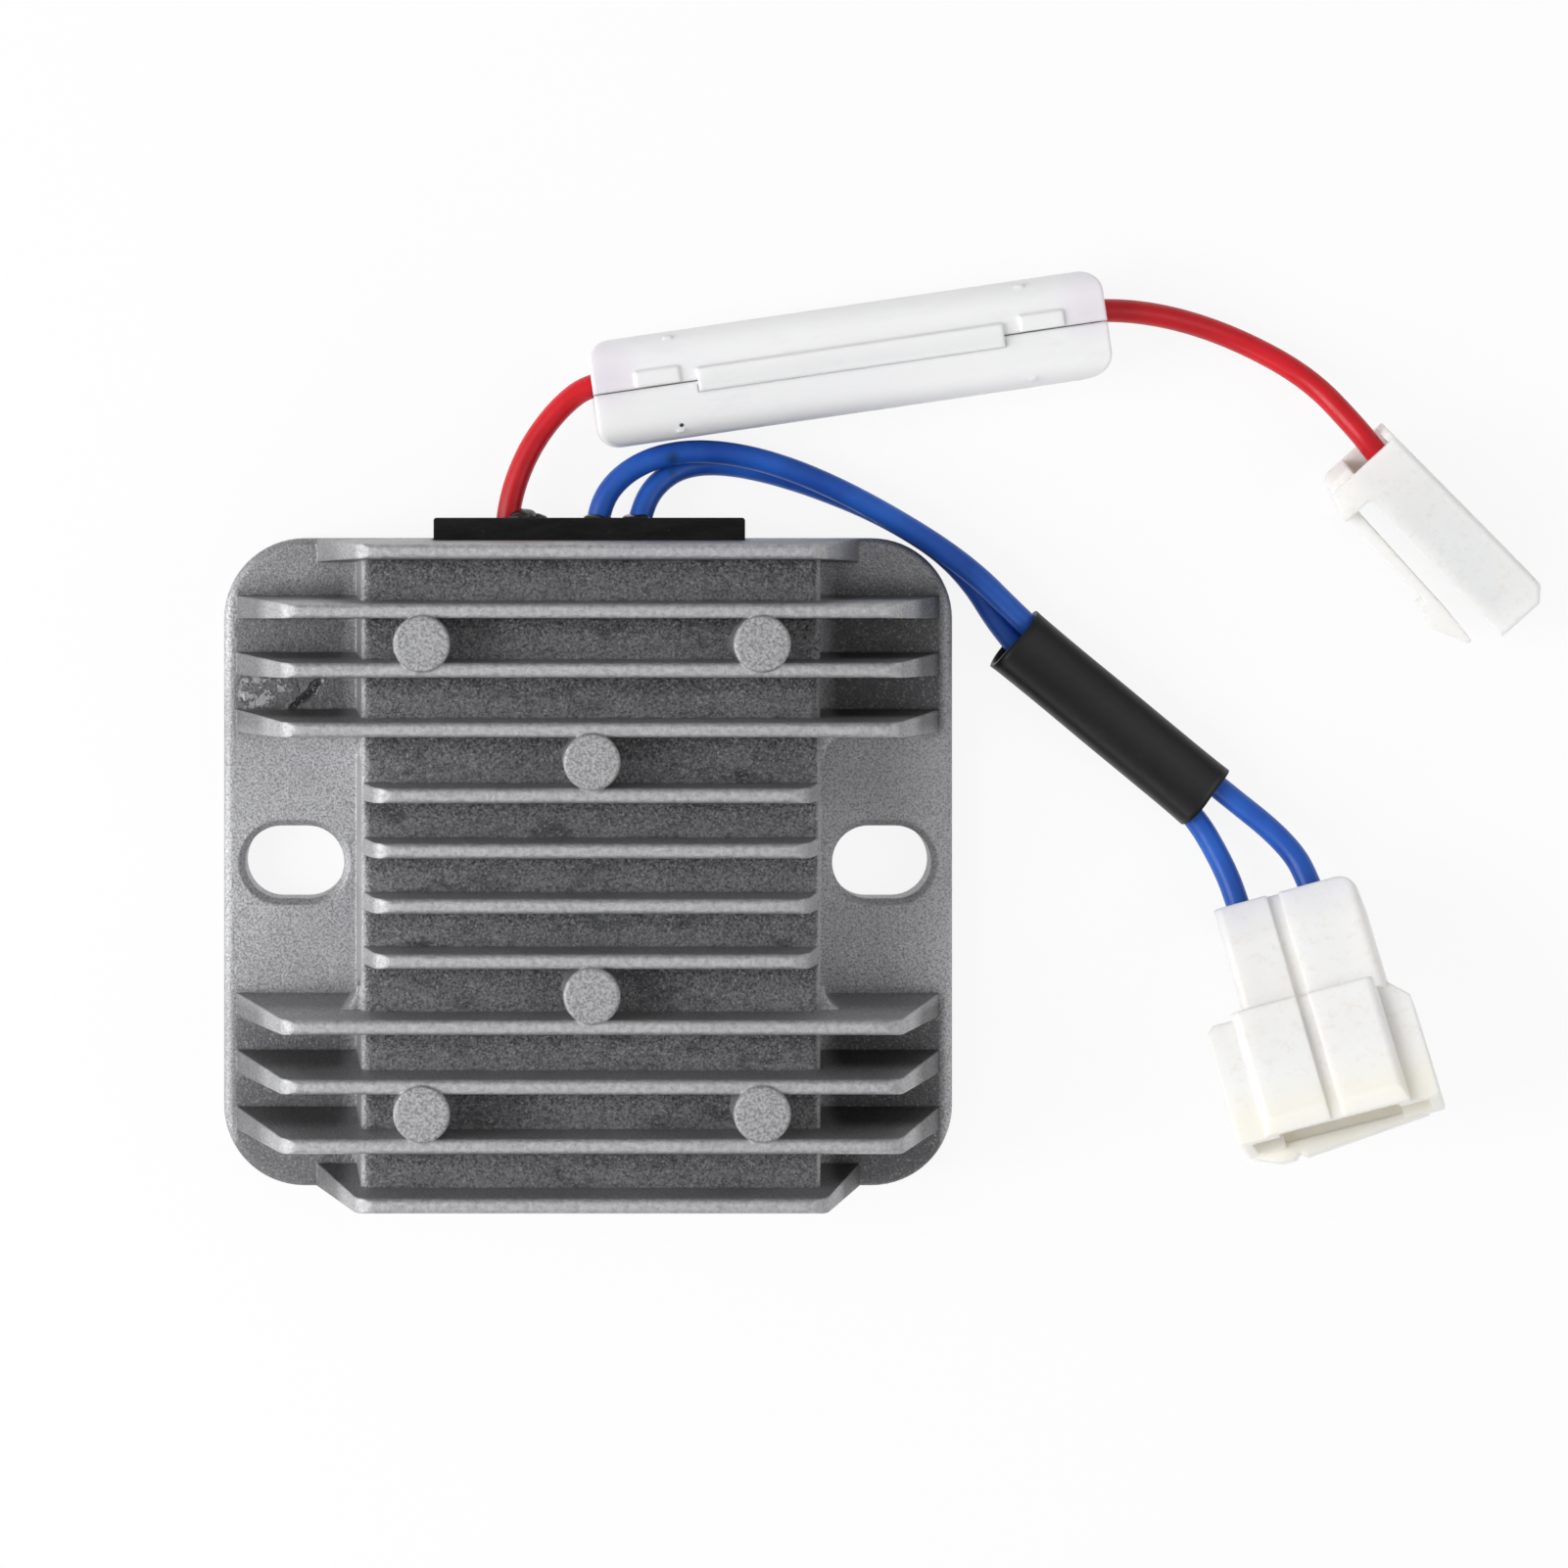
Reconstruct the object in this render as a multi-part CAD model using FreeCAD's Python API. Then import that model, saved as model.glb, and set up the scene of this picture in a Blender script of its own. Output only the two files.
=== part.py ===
import FreeCAD, Part
import math
import os
from FreeCAD import Placement, Rotation, Vector

# Automatic voltage regulator of a small generator: a finned die casting with a potted
# circuit behind it, a red lead with a fuse holder, and two blue leads with a connector.
# Millimetres. The origin is midway between the two mounting slots, on the back face.
# +X points to the right slot, +Y to the lead exits, +Z out of the back face to the fins.

# Mounting plate
plate_length = 72.0
plate_width = 64.0
plate_thickness = 4.0
plate_corner_radius = 8.0
plate_edge_radius = 0.9
slot_end_distance = 7.0
slot_length = 9.8
slot_width = 7.2
slot_edge_radius = 0.6
overshoot = 1.0

# Raised block with the circuit's cavity behind it
ear_length = 14.1
block_height = 11.0
block_draft = 5.0
block_edge_radius = 1.0
cavity_side_wall = 4.4
cavity_end_wall = 3.4
cavity_roof = 3.5
cavity_corner_radius = 2.0

# Fins
fin_height = 16.0
fin_tip_thickness = 1.4
fin_draft = 1.5
fin_tip_radius = 0.5
fin_corner_radius = 2.0
long_fin_first_distance = 14.0
long_fin_pitch = 5.6
long_fin_count = 3
long_fin_end_inset = 1.0
long_fin_slope = 6.0
end_fin_inset = 9.0
end_fin_slope = 5.0
short_fin_first_distance = 2.6
short_fin_pitch = 5.2
short_fin_count = 2
short_fin_slope = 1.6
pocket_corner_radius = 2.5

# Round bosses for the ejector pins
boss_diameter = 5.4
boss_over_fins = 0.35
boss_edge_radius = 0.3
outer_boss_inset = 5.9
outer_boss_step = 2.5
inner_boss_step = 3.0

# Plate that closes the cavity where the leads come out
exit_plate_inset = 3.3
exit_plate_height = 8.0
exit_plate_protrusion = 2.0
exit_plate_recess = 0.5
exit_flange_margin = 1.2
exit_flange_thickness = 1.5
exit_window_clearance = 0.1
exit_plate_edge_radius = 0.3
lead_exit_height = 4.0
red_exit_offset = -8.1
outer_blue_exit_offset = 0.8
inner_blue_exit_offset = 4.9

# Leads
lead_diameter = 2.3
lead_clearance = 0.05
sealant_radius = 2.0
sealant_height = 1.1
sealant_side_step = 1.3
residue_radius = 1.5
residue_height = 0.5

# Circuit board and what stands on it
potting_recess = 0.8
board_side_gap = 0.95
board_end_gap = 2.1
board_exit_gap = 5.1
board_thickness = 1.6
board_height = 5.3
board_corner_radius = 0.8
device_width = 10.2
device_body_length = 9.2
device_tab_length = 6.2
device_thickness = 4.4
device_tab_thickness = 1.3
device_hole_diameter = 3.6
device_leg_width = 0.8
device_leg_thickness = 0.5
device_leg_pitch = 2.54
device_leg_reach = 1.6
device_leg_height = 1.8
device_distance = 9.5
axial_leg_diameter = 0.6
axial_leg_reach = 1.2
axial_lift = 0.4
axial_edge_radius = 0.35
resistor_diameter = 2.4
resistor_length = 6.3
zener_diameter = 2.0
zener_length = 4.0
capacitor_length = 7.2
capacitor_width = 2.6
capacitor_height = 4.0
capacitor_edge_radius = 0.4
capacitor_offset = -1.4
small_part_pitch = 4.2

# Fuse holder, in its own frame: u along the leads, v across the seam, w up
holder_centre = Vector(25.37, 49.5, 0.0)
holder_angle = 8.32
holder_lift = 0.3
holder_length = 50.35
holder_width = 10.5
holder_depth = 9.0
holder_wall = 1.0
holder_end_wall = 1.2
holder_corner_radius = 2.2
holder_section_radius = 2.4
holder_lead_offset = 1.5
holder_seam_gap = 0.1
rib_position = 16.9
rib_thickness = 0.8
rib_height = 0.7
notch_side_clearance = 0.45
notch_drop_clearance = 0.95
notch_top_clearance = 0.2
hinge_length = 30.0
hinge_reach = 0.8
hinge_strip_width = 1.2
hinge_strip_height = 0.45
hinge_strip_sink = 0.3
hinge_nose_radius = 0.3
hinge_clearance = 0.12
pad_length = 4.4
pad_width = 1.6
pad_height = 0.3
pad_sink = 0.4
pad_edge_radius = 0.15
pad_seam_distance = 0.1
pad_position = 18.85

# Glass fuse and its clips
fuse_length = 30.0
fuse_cap_radius = 3.0
fuse_cap_length = 5.5
fuse_cap_wall = 0.35
fuse_cap_edge_radius = 0.3
fuse_glass_clearance = 0.02
fuse_glass_wall = 0.5
fuse_wire_radius = 0.15
clip_thickness = 0.4
clip_clearance = 0.04
clip_width = 4.4
clip_opening = 100.0
clip_end_inset = 0.4
clip_strip_width = 2.4
clip_bend_start = 0.5
clip_bend_length = 3.5
clip_bend_shift = 0.3
barrel_length = 2.8
barrel_start = 19.6
lead_end_in_clip = 20.3
lead_mouth_point = 24.9

# Single connector, in its own frame: s from the lead to the mating end, t across, w up.
# The roll lifts the side away from the latch arm.
single_origin = Vector(76.65, 41.4, 0.0)
single_angle = -45.35
single_roll = 12.0
single_lift = 0.15
single_length = 22.1
single_width = 6.05
single_depth = 8.4
single_wall = 0.8
single_lead_offset = -0.55
single_edge_radius = 0.5
single_set_back = 0.7
single_set_back_depth = 1.0
single_chamfer = 1.3
single_mouth_lip = 0.3
single_lead_before = 1.6
single_lead_drop = 0.15
single_entry_shift = 0.4
single_lead_straight = 1.2
single_lead_end = 3.9
single_barrel_start = 2.2
single_barrel_length = 3.2
single_neck_start = 6.4
arm_gap = 1.55
arm_thickness = 1.45
arm_taper = 0.6
arm_depth = 4.6
arm_root = 3.5
arm_shoulder_offset = 1.2
arm_shoulder_length = 3.2
arm_root_radius = 0.7
hook_start = 15.0
hook_length = 5.7
hook_height = 1.4
hook_heel_height = 0.9
hook_peak = 2.2
hook_tip_low = 0.3
hook_tip_high = 0.7
receptacle_width = 6.4
receptacle_height = 2.2
receptacle_length = 7.6
receptacle_start = 12.0
receptacle_neck_reach = 1.0
terminal_clearance = 0.05
strip_thickness = 0.4

# Double connector, in its own frame: s from the leads to the mating end, t across, w up.
# The tilt lifts the mating end and the roll lifts the side of the outer lead.
double_origin = Vector(67.67, -4.1, 0.0)
double_angle = -78.5
double_tilt = 24.3
double_roll = 14.0
double_lift = 0.15
neck_length = 10.35
neck_width = 13.8
neck_offset = 1.0
neck_thickness = 9.6
neck_corner_radius = 1.8
head_length = 12.15
head_width = 13.9
head_thickness = 10.4
flange_width = 19.4
flange_thickness = 7.4
flange_set_back = 0.4
flange_left_corner = 0.7
flange_right_corner = 1.9
flange_edge_radius = 0.4
double_wall = 1.2
double_floor = 1.6
double_pitch = 7.3
double_edge_radius = 0.9
double_lead_before = 0.8
double_lead_end = 3.4
way_side_clearance = 0.15
way_corner_radius = 0.3
lobe_groove_width = 1.2
lobe_groove_depth = 0.6
mouth_bevel_length = 1.5
mouth_bevel_depth = 0.5
mouth_corner_radius = 0.4
tongue_reach = 1.1
tongue_corner = 2.6
tongue_tip_width = 1.4
tongue_notch_width = 1.1
tongue_notch_depth = 0.5
tongue_end = 8.0
tongue_root = 0.6
tongue_level = -4.7
tongue_thickness = 1.5
blade_width = 6.3
blade_thickness = 0.8
blade_reach = 8.6
blade_tip_chamfer = 1.2
blade_setback = 2.0
blade_foot_length = 2.5
blade_foot_overlap = 0.5
blade_barrel_start = 1.2
blade_barrel_length = 3.4
blade_neck_start = 3.8

# Shrink sleeve over the blue leads
sleeve_start = Vector(42.1, 22.05, 0.0)
sleeve_angle = -39.6
sleeve_length = 24.6
sleeve_width = 7.2
sleeve_height = 5.6
sleeve_section_radius = 2.2
sleeve_wall = 0.4
sleeve_lift = 0.05

# Sizes that follow from the ones above
plate_end = plate_width / 2
slot_spacing = plate_length - 2 * slot_end_distance
block_width = plate_length - 2 * ear_length
block_top = plate_thickness + block_height
block_spread = block_height * math.tan(math.radians(block_draft))
fin_top = plate_thickness + fin_height
end_fin_row = long_fin_first_distance + long_fin_count * long_fin_pitch
cavity_half_width = block_width / 2 + block_spread - cavity_side_wall
cavity_end = plate_end - cavity_end_wall
cavity_top = block_top - cavity_roof
exit_plate_width = 2 * (cavity_half_width - exit_plate_inset)
device_spacing = cavity_half_width
board_width = 2 * (cavity_half_width - board_side_gap)
board_low = board_end_gap - cavity_end
board_high = cavity_end - board_exit_gap
outer_boss_x = block_width / 2 - outer_boss_inset
outer_boss_y = long_fin_first_distance + long_fin_pitch + outer_boss_step
inner_boss_y = long_fin_first_distance - inner_boss_step
exit_face = plate_end + exit_plate_protrusion
lead_radius = lead_diameter / 2
board_top = board_height + board_thickness / 2
holder_mid = holder_depth / 2
clip_inner_radius = fuse_cap_radius + clip_clearance
clip_outer_radius = clip_inner_radius + clip_thickness
barrel_inner_radius = lead_radius + lead_clearance
barrel_outer_radius = barrel_inner_radius + clip_thickness
double_length = neck_length + head_length
single_drop = (single_width / 2 + arm_gap + arm_thickness) * math.sin(math.radians(single_roll))
single_height = single_lift + single_drop
neck_drop = ((neck_width / 2 - neck_offset) * math.sin(math.radians(double_roll))
             + neck_thickness / 2 * math.cos(math.radians(double_roll)))
double_height = double_lift + neck_drop * math.cos(math.radians(double_tilt))
holder_frame = Placement(holder_centre + Vector(0, 0, holder_lift),
                         Rotation(Vector(0, 0, 1), holder_angle))
single_frame = Placement(single_origin + Vector(0, 0, single_height),
                         Rotation(Vector(0, 0, 1), single_angle) * Rotation(Vector(1, 0, 0), single_roll))
double_frame = Placement(double_origin + Vector(0, 0, double_height),
                         Rotation(Vector(0, 0, 1), double_angle)
                         * Rotation(Vector(0, 1, 0), -double_tilt)
                         * Rotation(Vector(1, 0, 0), double_roll))
sleeve_frame = Placement(sleeve_start + Vector(0, 0, sleeve_lift + sleeve_height / 2),
                         Rotation(Vector(0, 0, 1), sleeve_angle))


def corner_points(before, corner, after, radius):
    """Start, middle and end of the arc that rounds one corner of a path."""
    back = (before - corner).normalize()
    ahead = (after - corner).normalize()
    half = back.getAngle(ahead) / 2
    reach = radius / math.tan(half)
    inward = (back + ahead).normalize()
    middle = corner + inward * (radius / math.sin(half) - radius)
    return corner + back * reach, middle, corner + ahead * reach


def closed_face(points, radii):
    """Flat face whose corners are rounded by the radii, where 0 keeps a corner sharp."""
    count = len(points)
    stops = []
    for index, corner in enumerate(points):
        if radii[index] > 0:
            stops.append(corner_points(points[index - 1], corner,
                                       points[(index + 1) % count], radii[index]))
        else:
            stops.append((corner,))
    edges = []
    for index, stop in enumerate(stops):
        if len(stop) == 3:
            edges.append(Part.Arc(*stop).toShape())
        following = stops[(index + 1) % count][0]
        if stop[-1].distanceToPoint(following) > 1e-6:
            edges.append(Part.LineSegment(stop[-1], following).toShape())
    return Part.Face(Part.Wire(edges))


def rectangle(width, height, radius):
    """Face in the XY plane, centred on the origin."""
    x, y = width / 2, height / 2
    corners = [Vector(-x, -y, 0), Vector(x, -y, 0), Vector(x, y, 0), Vector(-x, y, 0)]
    return closed_face(corners, [radius] * 4)


def centred_box(x_size, y_size, z_size, centre):
    corner = centre - Vector(x_size, y_size, z_size) * 0.5
    return Part.makeBox(x_size, y_size, z_size, corner)


def box_between(low, high):
    size = high - low
    return Part.makeBox(size.x, size.y, size.z, low)


def mirrored(shape, normal):
    return shape.mirror(Vector(0, 0, 0), normal)


def turned_section(width, height, radius, length, start):
    """Bar along X with a rounded rectangular section, width along Y, height along Z."""
    face = rectangle(width, height, radius)
    face.Placement = Placement(Vector(start, 0, 0), Rotation(Vector(1, 1, 1), 120))
    return face.extrude(Vector(length, 0, 0))


def route_radii(points):
    """Arc radius at each inner point: 0.45 of the shorter run over the tangent of half the turn."""
    radii = []
    for before, corner, after in zip(points, points[1:], points[2:]):
        turn = (corner - before).getAngle(after - corner)
        shorter = min(before.distanceToPoint(corner), corner.distanceToPoint(after))
        radii.append(0.45 * shorter / math.tan(turn / 2))
    return radii


def route_wire(points):
    edges = []
    last = points[0]
    for index, radius in enumerate(route_radii(points)):
        start, middle, end = corner_points(*points[index:index + 3], radius)
        edges.append(Part.LineSegment(last, start).toShape())
        edges.append(Part.Arc(start, middle, end).toShape())
        last = end
    edges.append(Part.LineSegment(last, points[-1]).toShape())
    return Part.Wire(edges)


def tube_along(points, radius):
    start_circle = Part.Circle(points[0], points[1] - points[0], radius)
    section = Part.Wire([start_circle.toShape()])
    return route_wire(points).makePipeShell([section], True, False)


# Routes of the leads. The first points lie inside the potting, the last in a crimp.
def red_to_fuse_route():
    inside = holder_frame.multVec(Vector(-lead_end_in_clip, holder_lead_offset, holder_mid))
    mouth = holder_frame.multVec(Vector(-lead_mouth_point, holder_lead_offset, holder_mid))
    return [Vector(red_exit_offset, 23.6, 3.3), Vector(red_exit_offset, 29.0, lead_exit_height),
            Vector(-8.0, 35.0, 4.0), Vector(-6.1, 40.5, 4.1), Vector(-2.9, 44.9, 4.5),
            mouth, inside]


def red_to_connector_route():
    inside = holder_frame.multVec(Vector(lead_end_in_clip, holder_lead_offset, holder_mid))
    mouth = holder_frame.multVec(Vector(lead_mouth_point, holder_lead_offset, holder_mid))
    depth = single_depth / 2
    before = single_frame.multVec(Vector(-single_lead_before, single_entry_shift - single_lead_offset,
                                         depth - single_lead_drop))
    straight = single_frame.multVec(Vector(single_lead_straight, -single_lead_offset, depth))
    crimp = single_frame.multVec(Vector(single_lead_end, -single_lead_offset, depth))
    return [inside, mouth, Vector(56.9, 54.1, 3.4), Vector(64.3, 51.9, 1.8),
            Vector(71.4, 47.9, 2.6), before, straight, crimp]


def outer_blue_route():
    before = double_frame.multVec(Vector(-double_lead_before, double_pitch / 2, 0))
    crimp = double_frame.multVec(Vector(double_lead_end, double_pitch / 2, 0))
    return [Vector(outer_blue_exit_offset, 23.8, 3.3), Vector(outer_blue_exit_offset, 29.2, lead_exit_height),
            Vector(0.9, 34.9, 4.0), Vector(3.2, 38.3, 4.1), Vector(7.5, 40.4, 4.2),
            Vector(13.4, 40.6, 4.1), Vector(20.4, 38.8, 3.85), Vector(28.4, 35.0, 3.75),
            Vector(37.2, 29.5, 3.9), Vector(42.9, 23.8, 3.3), Vector(50.7, 16.9, 2.4),
            Vector(62.0, 7.6, 2.9), Vector(69.0, 1.9, 4.6), before, crimp]


def inner_blue_route():
    before = double_frame.multVec(Vector(-double_lead_before, -double_pitch / 2, 0))
    crimp = double_frame.multVec(Vector(double_lead_end, -double_pitch / 2, 0))
    return [Vector(4.6, 24.6, 3.3), Vector(4.6, 29.8, lead_exit_height),
            Vector(inner_blue_exit_offset, 33.6, 4.0), Vector(6.3, 37.1, 3.4),
            Vector(9.6, 39.3, 2.2), Vector(14.6, 39.4, 1.3), Vector(21.6, 37.6, 1.2),
            Vector(29.9, 34.2, 1.2), Vector(37.2, 29.4, 1.2), Vector(42.0, 21.4, 1.8),
            Vector(50.9, 13.3, 1.8), Vector(59.75, 5.3, 2.3), Vector(62.75, -0.4, 3.7),
            before, crimp]


lead_routes = {"red_lead_to_fuse": red_to_fuse_route(),
               "red_lead_to_connector": red_to_connector_route(),
               "blue_lead_outer": outer_blue_route(),
               "blue_lead_inner": inner_blue_route()}
exit_leads = ["red_lead_to_fuse", "blue_lead_outer", "blue_lead_inner"]


def lead(name):
    """One insulated lead, with its volume tested against section times length."""
    route = lead_routes[name]
    tube = tube_along(route, lead_radius)
    length = route_wire(route).Length
    expected = math.pi * lead_radius ** 2 * length
    radii = " ".join(f"{radius:.1f}" for radius in route_radii(route))
    print(f"{name}: length {length:.1f}, volume ratio {tube.Volume / expected:.4f}, radii {radii}")
    return tube


def cut_lead_ways(shape, names):
    """Clear the way of the named leads through a piece."""
    for name in names:
        shape = shape.cut(tube_along(lead_routes[name], lead_radius + lead_clearance))
    return shape


# Housing casting
def mounting_plate():
    face = rectangle(plate_length, plate_width, plate_corner_radius)
    plate = face.extrude(Vector(0, 0, plate_thickness))
    rim = [edge for edge in plate.Edges
           if all(abs(vertex.Z - plate_thickness) < 1e-6 for vertex in edge.Vertexes)]
    return plate.makeFillet(plate_edge_radius, rim)


def slot_cutter(side):
    """Cutter for one slot, flared at the front."""
    centre = Vector(side * slot_spacing / 2, 0, 0)
    narrow = rectangle(slot_length, slot_width, slot_width / 2)
    hole = narrow.extrude(Vector(0, 0, plate_thickness + overshoot))
    wide = rectangle(slot_length + 2 * slot_edge_radius, slot_width + 2 * slot_edge_radius,
                     slot_width / 2 + slot_edge_radius)
    narrow.translate(Vector(0, 0, plate_thickness - slot_edge_radius))
    wide.translate(Vector(0, 0, plate_thickness))
    flare = Part.makeLoft([narrow.OuterWire, wide.OuterWire], True)
    cutter = hole.fuse(flare)
    cutter.translate(centre)
    return cutter


def raised_block():
    low = block_width / 2 + block_spread
    high = block_width / 2
    outline = [Vector(-low, 0, 0), Vector(low, 0, 0), Vector(low, 0, plate_thickness),
               Vector(high, 0, block_top), Vector(-high, 0, block_top),
               Vector(-low, 0, plate_thickness)]
    face = closed_face(outline, [0, 0, 0, block_edge_radius, block_edge_radius, 0])
    block = face.extrude(Vector(0, 2 * end_fin_row, 0))
    block.translate(Vector(0, -end_fin_row, 0))
    return block


def fin(row, root_half, slope, base):
    """One fin: its long outline crossed with its tapered section."""
    depth = fin_top - base
    root_thickness = fin_tip_thickness / 2 + depth * math.tan(math.radians(fin_draft))
    tip_half = root_half - slope
    outline = [Vector(-root_half, 0, base), Vector(root_half, 0, base),
               Vector(tip_half, 0, fin_top), Vector(-tip_half, 0, fin_top)]
    side = closed_face(outline, [0, 0, fin_corner_radius, fin_corner_radius])
    side = side.extrude(Vector(0, 4 * root_thickness, 0))
    side.translate(Vector(0, -2 * root_thickness, 0))
    tip = fin_tip_thickness / 2
    section = [Vector(-root_half, -root_thickness, base), Vector(-root_half, root_thickness, base),
               Vector(-root_half, tip, fin_top), Vector(-root_half, -tip, fin_top)]
    bar = closed_face(section, [0, 0, fin_tip_radius, fin_tip_radius])
    bar = bar.extrude(Vector(2 * root_half, 0, 0))
    shape = side.common(bar)
    shape.translate(Vector(0, row, 0))
    return shape


def all_fins():
    base = plate_thickness - overshoot
    long_half = plate_length / 2 - long_fin_end_inset
    end_half = plate_length / 2 - end_fin_inset
    fins = []
    for side in (-1, 1):
        for index in range(long_fin_count):
            row = side * (long_fin_first_distance + index * long_fin_pitch)
            fins.append(fin(row, long_half, long_fin_slope, base))
        fins.append(fin(side * end_fin_row, end_half, end_fin_slope, base))
        for index in range(short_fin_count):
            row = side * (short_fin_first_distance + index * short_fin_pitch)
            fins.append(fin(row, block_width / 2, short_fin_slope, block_top - overshoot))
    return fins


def boss(x, y):
    top = fin_top + boss_over_fins
    height = top - cavity_top
    post = Part.makeCylinder(boss_diameter / 2, height, Vector(x, y, cavity_top))
    rim = [edge for edge in post.Edges if abs(edge.BoundBox.ZMin - top) < 1e-6]
    return post.makeFillet(boss_edge_radius, rim)


def all_bosses():
    places = [(0, side * inner_boss_y) for side in (-1, 1)]
    places += [(x * outer_boss_x, y * outer_boss_y) for x in (-1, 1) for y in (-1, 1)]
    return [boss(x, y) for x, y in places]


def pocket_corners():
    """Hollow rounds where the block's sides meet the two fins beside the ears."""
    root = block_width / 2 + block_spread / 2
    face = long_fin_first_distance - fin_tip_thickness / 2
    overlap = 0.6
    size = pocket_corner_radius + overlap
    corner = box_between(Vector(root - overlap, face - pocket_corner_radius, plate_thickness - overshoot),
                         Vector(root - overlap + size, face + overlap, block_top - block_edge_radius))
    hollow = Part.makeCylinder(pocket_corner_radius, 2 * fin_height,
                               Vector(root + pocket_corner_radius, face - pocket_corner_radius, 0))
    corner = corner.cut(hollow)
    right = [corner, mirrored(corner, Vector(0, 1, 0))]
    return right + [mirrored(piece, Vector(1, 0, 0)) for piece in right]


def cavity_shape(low, high):
    face = rectangle(2 * cavity_half_width, 2 * cavity_end, cavity_corner_radius)
    face.translate(Vector(0, 0, low))
    return face.extrude(Vector(0, 0, high - low))


def exit_window():
    half = exit_plate_width / 2 + exit_window_clearance
    top = exit_plate_recess + exit_plate_height + exit_window_clearance
    return box_between(Vector(-half, cavity_end - cavity_corner_radius, -overshoot),
                       Vector(half, plate_end + overshoot, top))


def heatsink_housing():
    body = mounting_plate().fuse([raised_block()] + all_fins() + all_bosses() + pocket_corners())
    cutters = [slot_cutter(-1), slot_cutter(1), cavity_shape(-overshoot, cavity_top), exit_window()]
    return body.cut(cutters).removeSplitter()


# Exit plate and sealant
def exit_plate_blank():
    half = exit_plate_width / 2
    low = exit_plate_recess
    high = low + exit_plate_height
    face = box_between(Vector(-half, cavity_end - exit_flange_thickness, low),
                       Vector(half, exit_face, high))
    rim = [edge for edge in face.Edges
           if all(abs(vertex.Y - exit_face) < 1e-6 for vertex in edge.Vertexes)]
    face = face.makeFillet(exit_plate_edge_radius, rim)
    flange = box_between(Vector(-half - exit_flange_margin, cavity_end - exit_flange_thickness, low),
                         Vector(half + exit_flange_margin, cavity_end, high + exit_flange_margin))
    return face.fuse(flange).removeSplitter()


def wire_exit_plate():
    return cut_lead_ways(exit_plate_blank(), exit_leads)


def sealant_dome(x, radius, height):
    """Flattened bead standing on the exit plate's outer face."""
    dome_radius = (radius ** 2 + height ** 2) / (2 * height)
    ball = Part.makeSphere(dome_radius, Vector(x, exit_face - dome_radius + height, lead_exit_height))
    keep = centred_box(4 * radius, 2 * height, 4 * radius,
                       Vector(x, exit_face + height, lead_exit_height))
    return ball.common(keep)


def exit_sealant():
    beads = [sealant_dome(red_exit_offset + sealant_side_step, sealant_radius, sealant_height),
             sealant_dome(outer_blue_exit_offset, residue_radius, residue_height),
             sealant_dome(inner_blue_exit_offset, residue_radius, residue_height)]
    return Part.makeCompound([cut_lead_ways(bead, [name]) for bead, name in zip(beads, exit_leads)])


# Circuit
def circuit_board():
    board = rectangle(board_width, board_high - board_low, board_corner_radius)
    board = board.extrude(Vector(0, 0, board_thickness))
    board.translate(Vector(0, (board_low + board_high) / 2, board_top - board_thickness))
    return board


def power_device(x, row, leg_count):
    """Power package with its metal tab against the cavity's roof and its legs on the board."""
    body_low = cavity_top - device_thickness
    body = box_between(Vector(-device_width / 2, 0, body_low),
                       Vector(device_width / 2, device_body_length, cavity_top))
    tab = box_between(Vector(-device_width / 2, 0, cavity_top - device_tab_thickness),
                      Vector(device_width / 2, device_body_length + device_tab_length, cavity_top))
    hole_y = device_body_length + device_tab_length / 2
    hole = Part.makeCylinder(device_hole_diameter / 2, 2 * device_thickness,
                             Vector(0, hole_y, body_low))
    shape = body.fuse(tab).cut(hole)
    leg_z = body_low + device_leg_height
    for index in range(leg_count):
        leg_x = (index - (leg_count - 1) / 2) * device_leg_pitch * (2 if leg_count == 2 else 1)
        half = device_leg_width / 2
        out = box_between(Vector(leg_x - half, -device_leg_reach, leg_z),
                          Vector(leg_x + half, device_leg_thickness, leg_z + device_leg_thickness))
        down = box_between(Vector(leg_x - half, -device_leg_reach, board_top),
                           Vector(leg_x + half, -device_leg_reach + device_leg_thickness,
                                  leg_z + device_leg_thickness))
        shape = shape.fuse([out, down])
    shape.translate(Vector(x, device_distance, 0))
    return shape.removeSplitter() if row > 0 else mirrored(shape.removeSplitter(), Vector(0, 1, 0))


def axial_part(diameter, length, x, y):
    """Small axial component lying over the board, on two bent wire legs."""
    z = board_top + axial_lift + diameter / 2
    half = length / 2 + axial_leg_reach
    leg = axial_leg_diameter / 2
    body = Part.makeCylinder(diameter / 2, length, Vector(-length / 2, 0, z), Vector(1, 0, 0))
    rims = [edge for edge in body.Edges if len(edge.Vertexes) == 1]
    body = body.makeFillet(axial_edge_radius, rims)
    bar = Part.makeCylinder(leg, 2 * half, Vector(-half, 0, z), Vector(1, 0, 0))
    feet = [Part.makeCylinder(leg, z - board_top + leg, Vector(side * (half - leg), 0, board_top))
            for side in (-1, 1)]
    shape = body.fuse([bar] + feet).removeSplitter()
    shape.translate(Vector(x, y, 0))
    return shape


def film_capacitor(x, y):
    box = centred_box(capacitor_length, capacitor_width, capacitor_height,
                      Vector(x, y, board_top + capacitor_height / 2))
    return box.makeFillet(capacitor_edge_radius, box.Edges)


def circuit_parts():
    right = device_spacing / 2
    return {"circuit_board": circuit_board(),
            "thyristor_a": power_device(-right, -1, 3),
            "thyristor_b": power_device(right, -1, 3),
            "rectifier_diode_a": power_device(-right, 1, 2),
            "rectifier_diode_b": power_device(right, 1, 2),
            "resistor_a": axial_part(resistor_diameter, resistor_length, -right, small_part_pitch),
            "resistor_b": axial_part(resistor_diameter, resistor_length, -right, 0),
            "zener_diode": axial_part(zener_diameter, zener_length, right, small_part_pitch),
            "capacitor": film_capacitor(right, capacitor_offset)}


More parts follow.
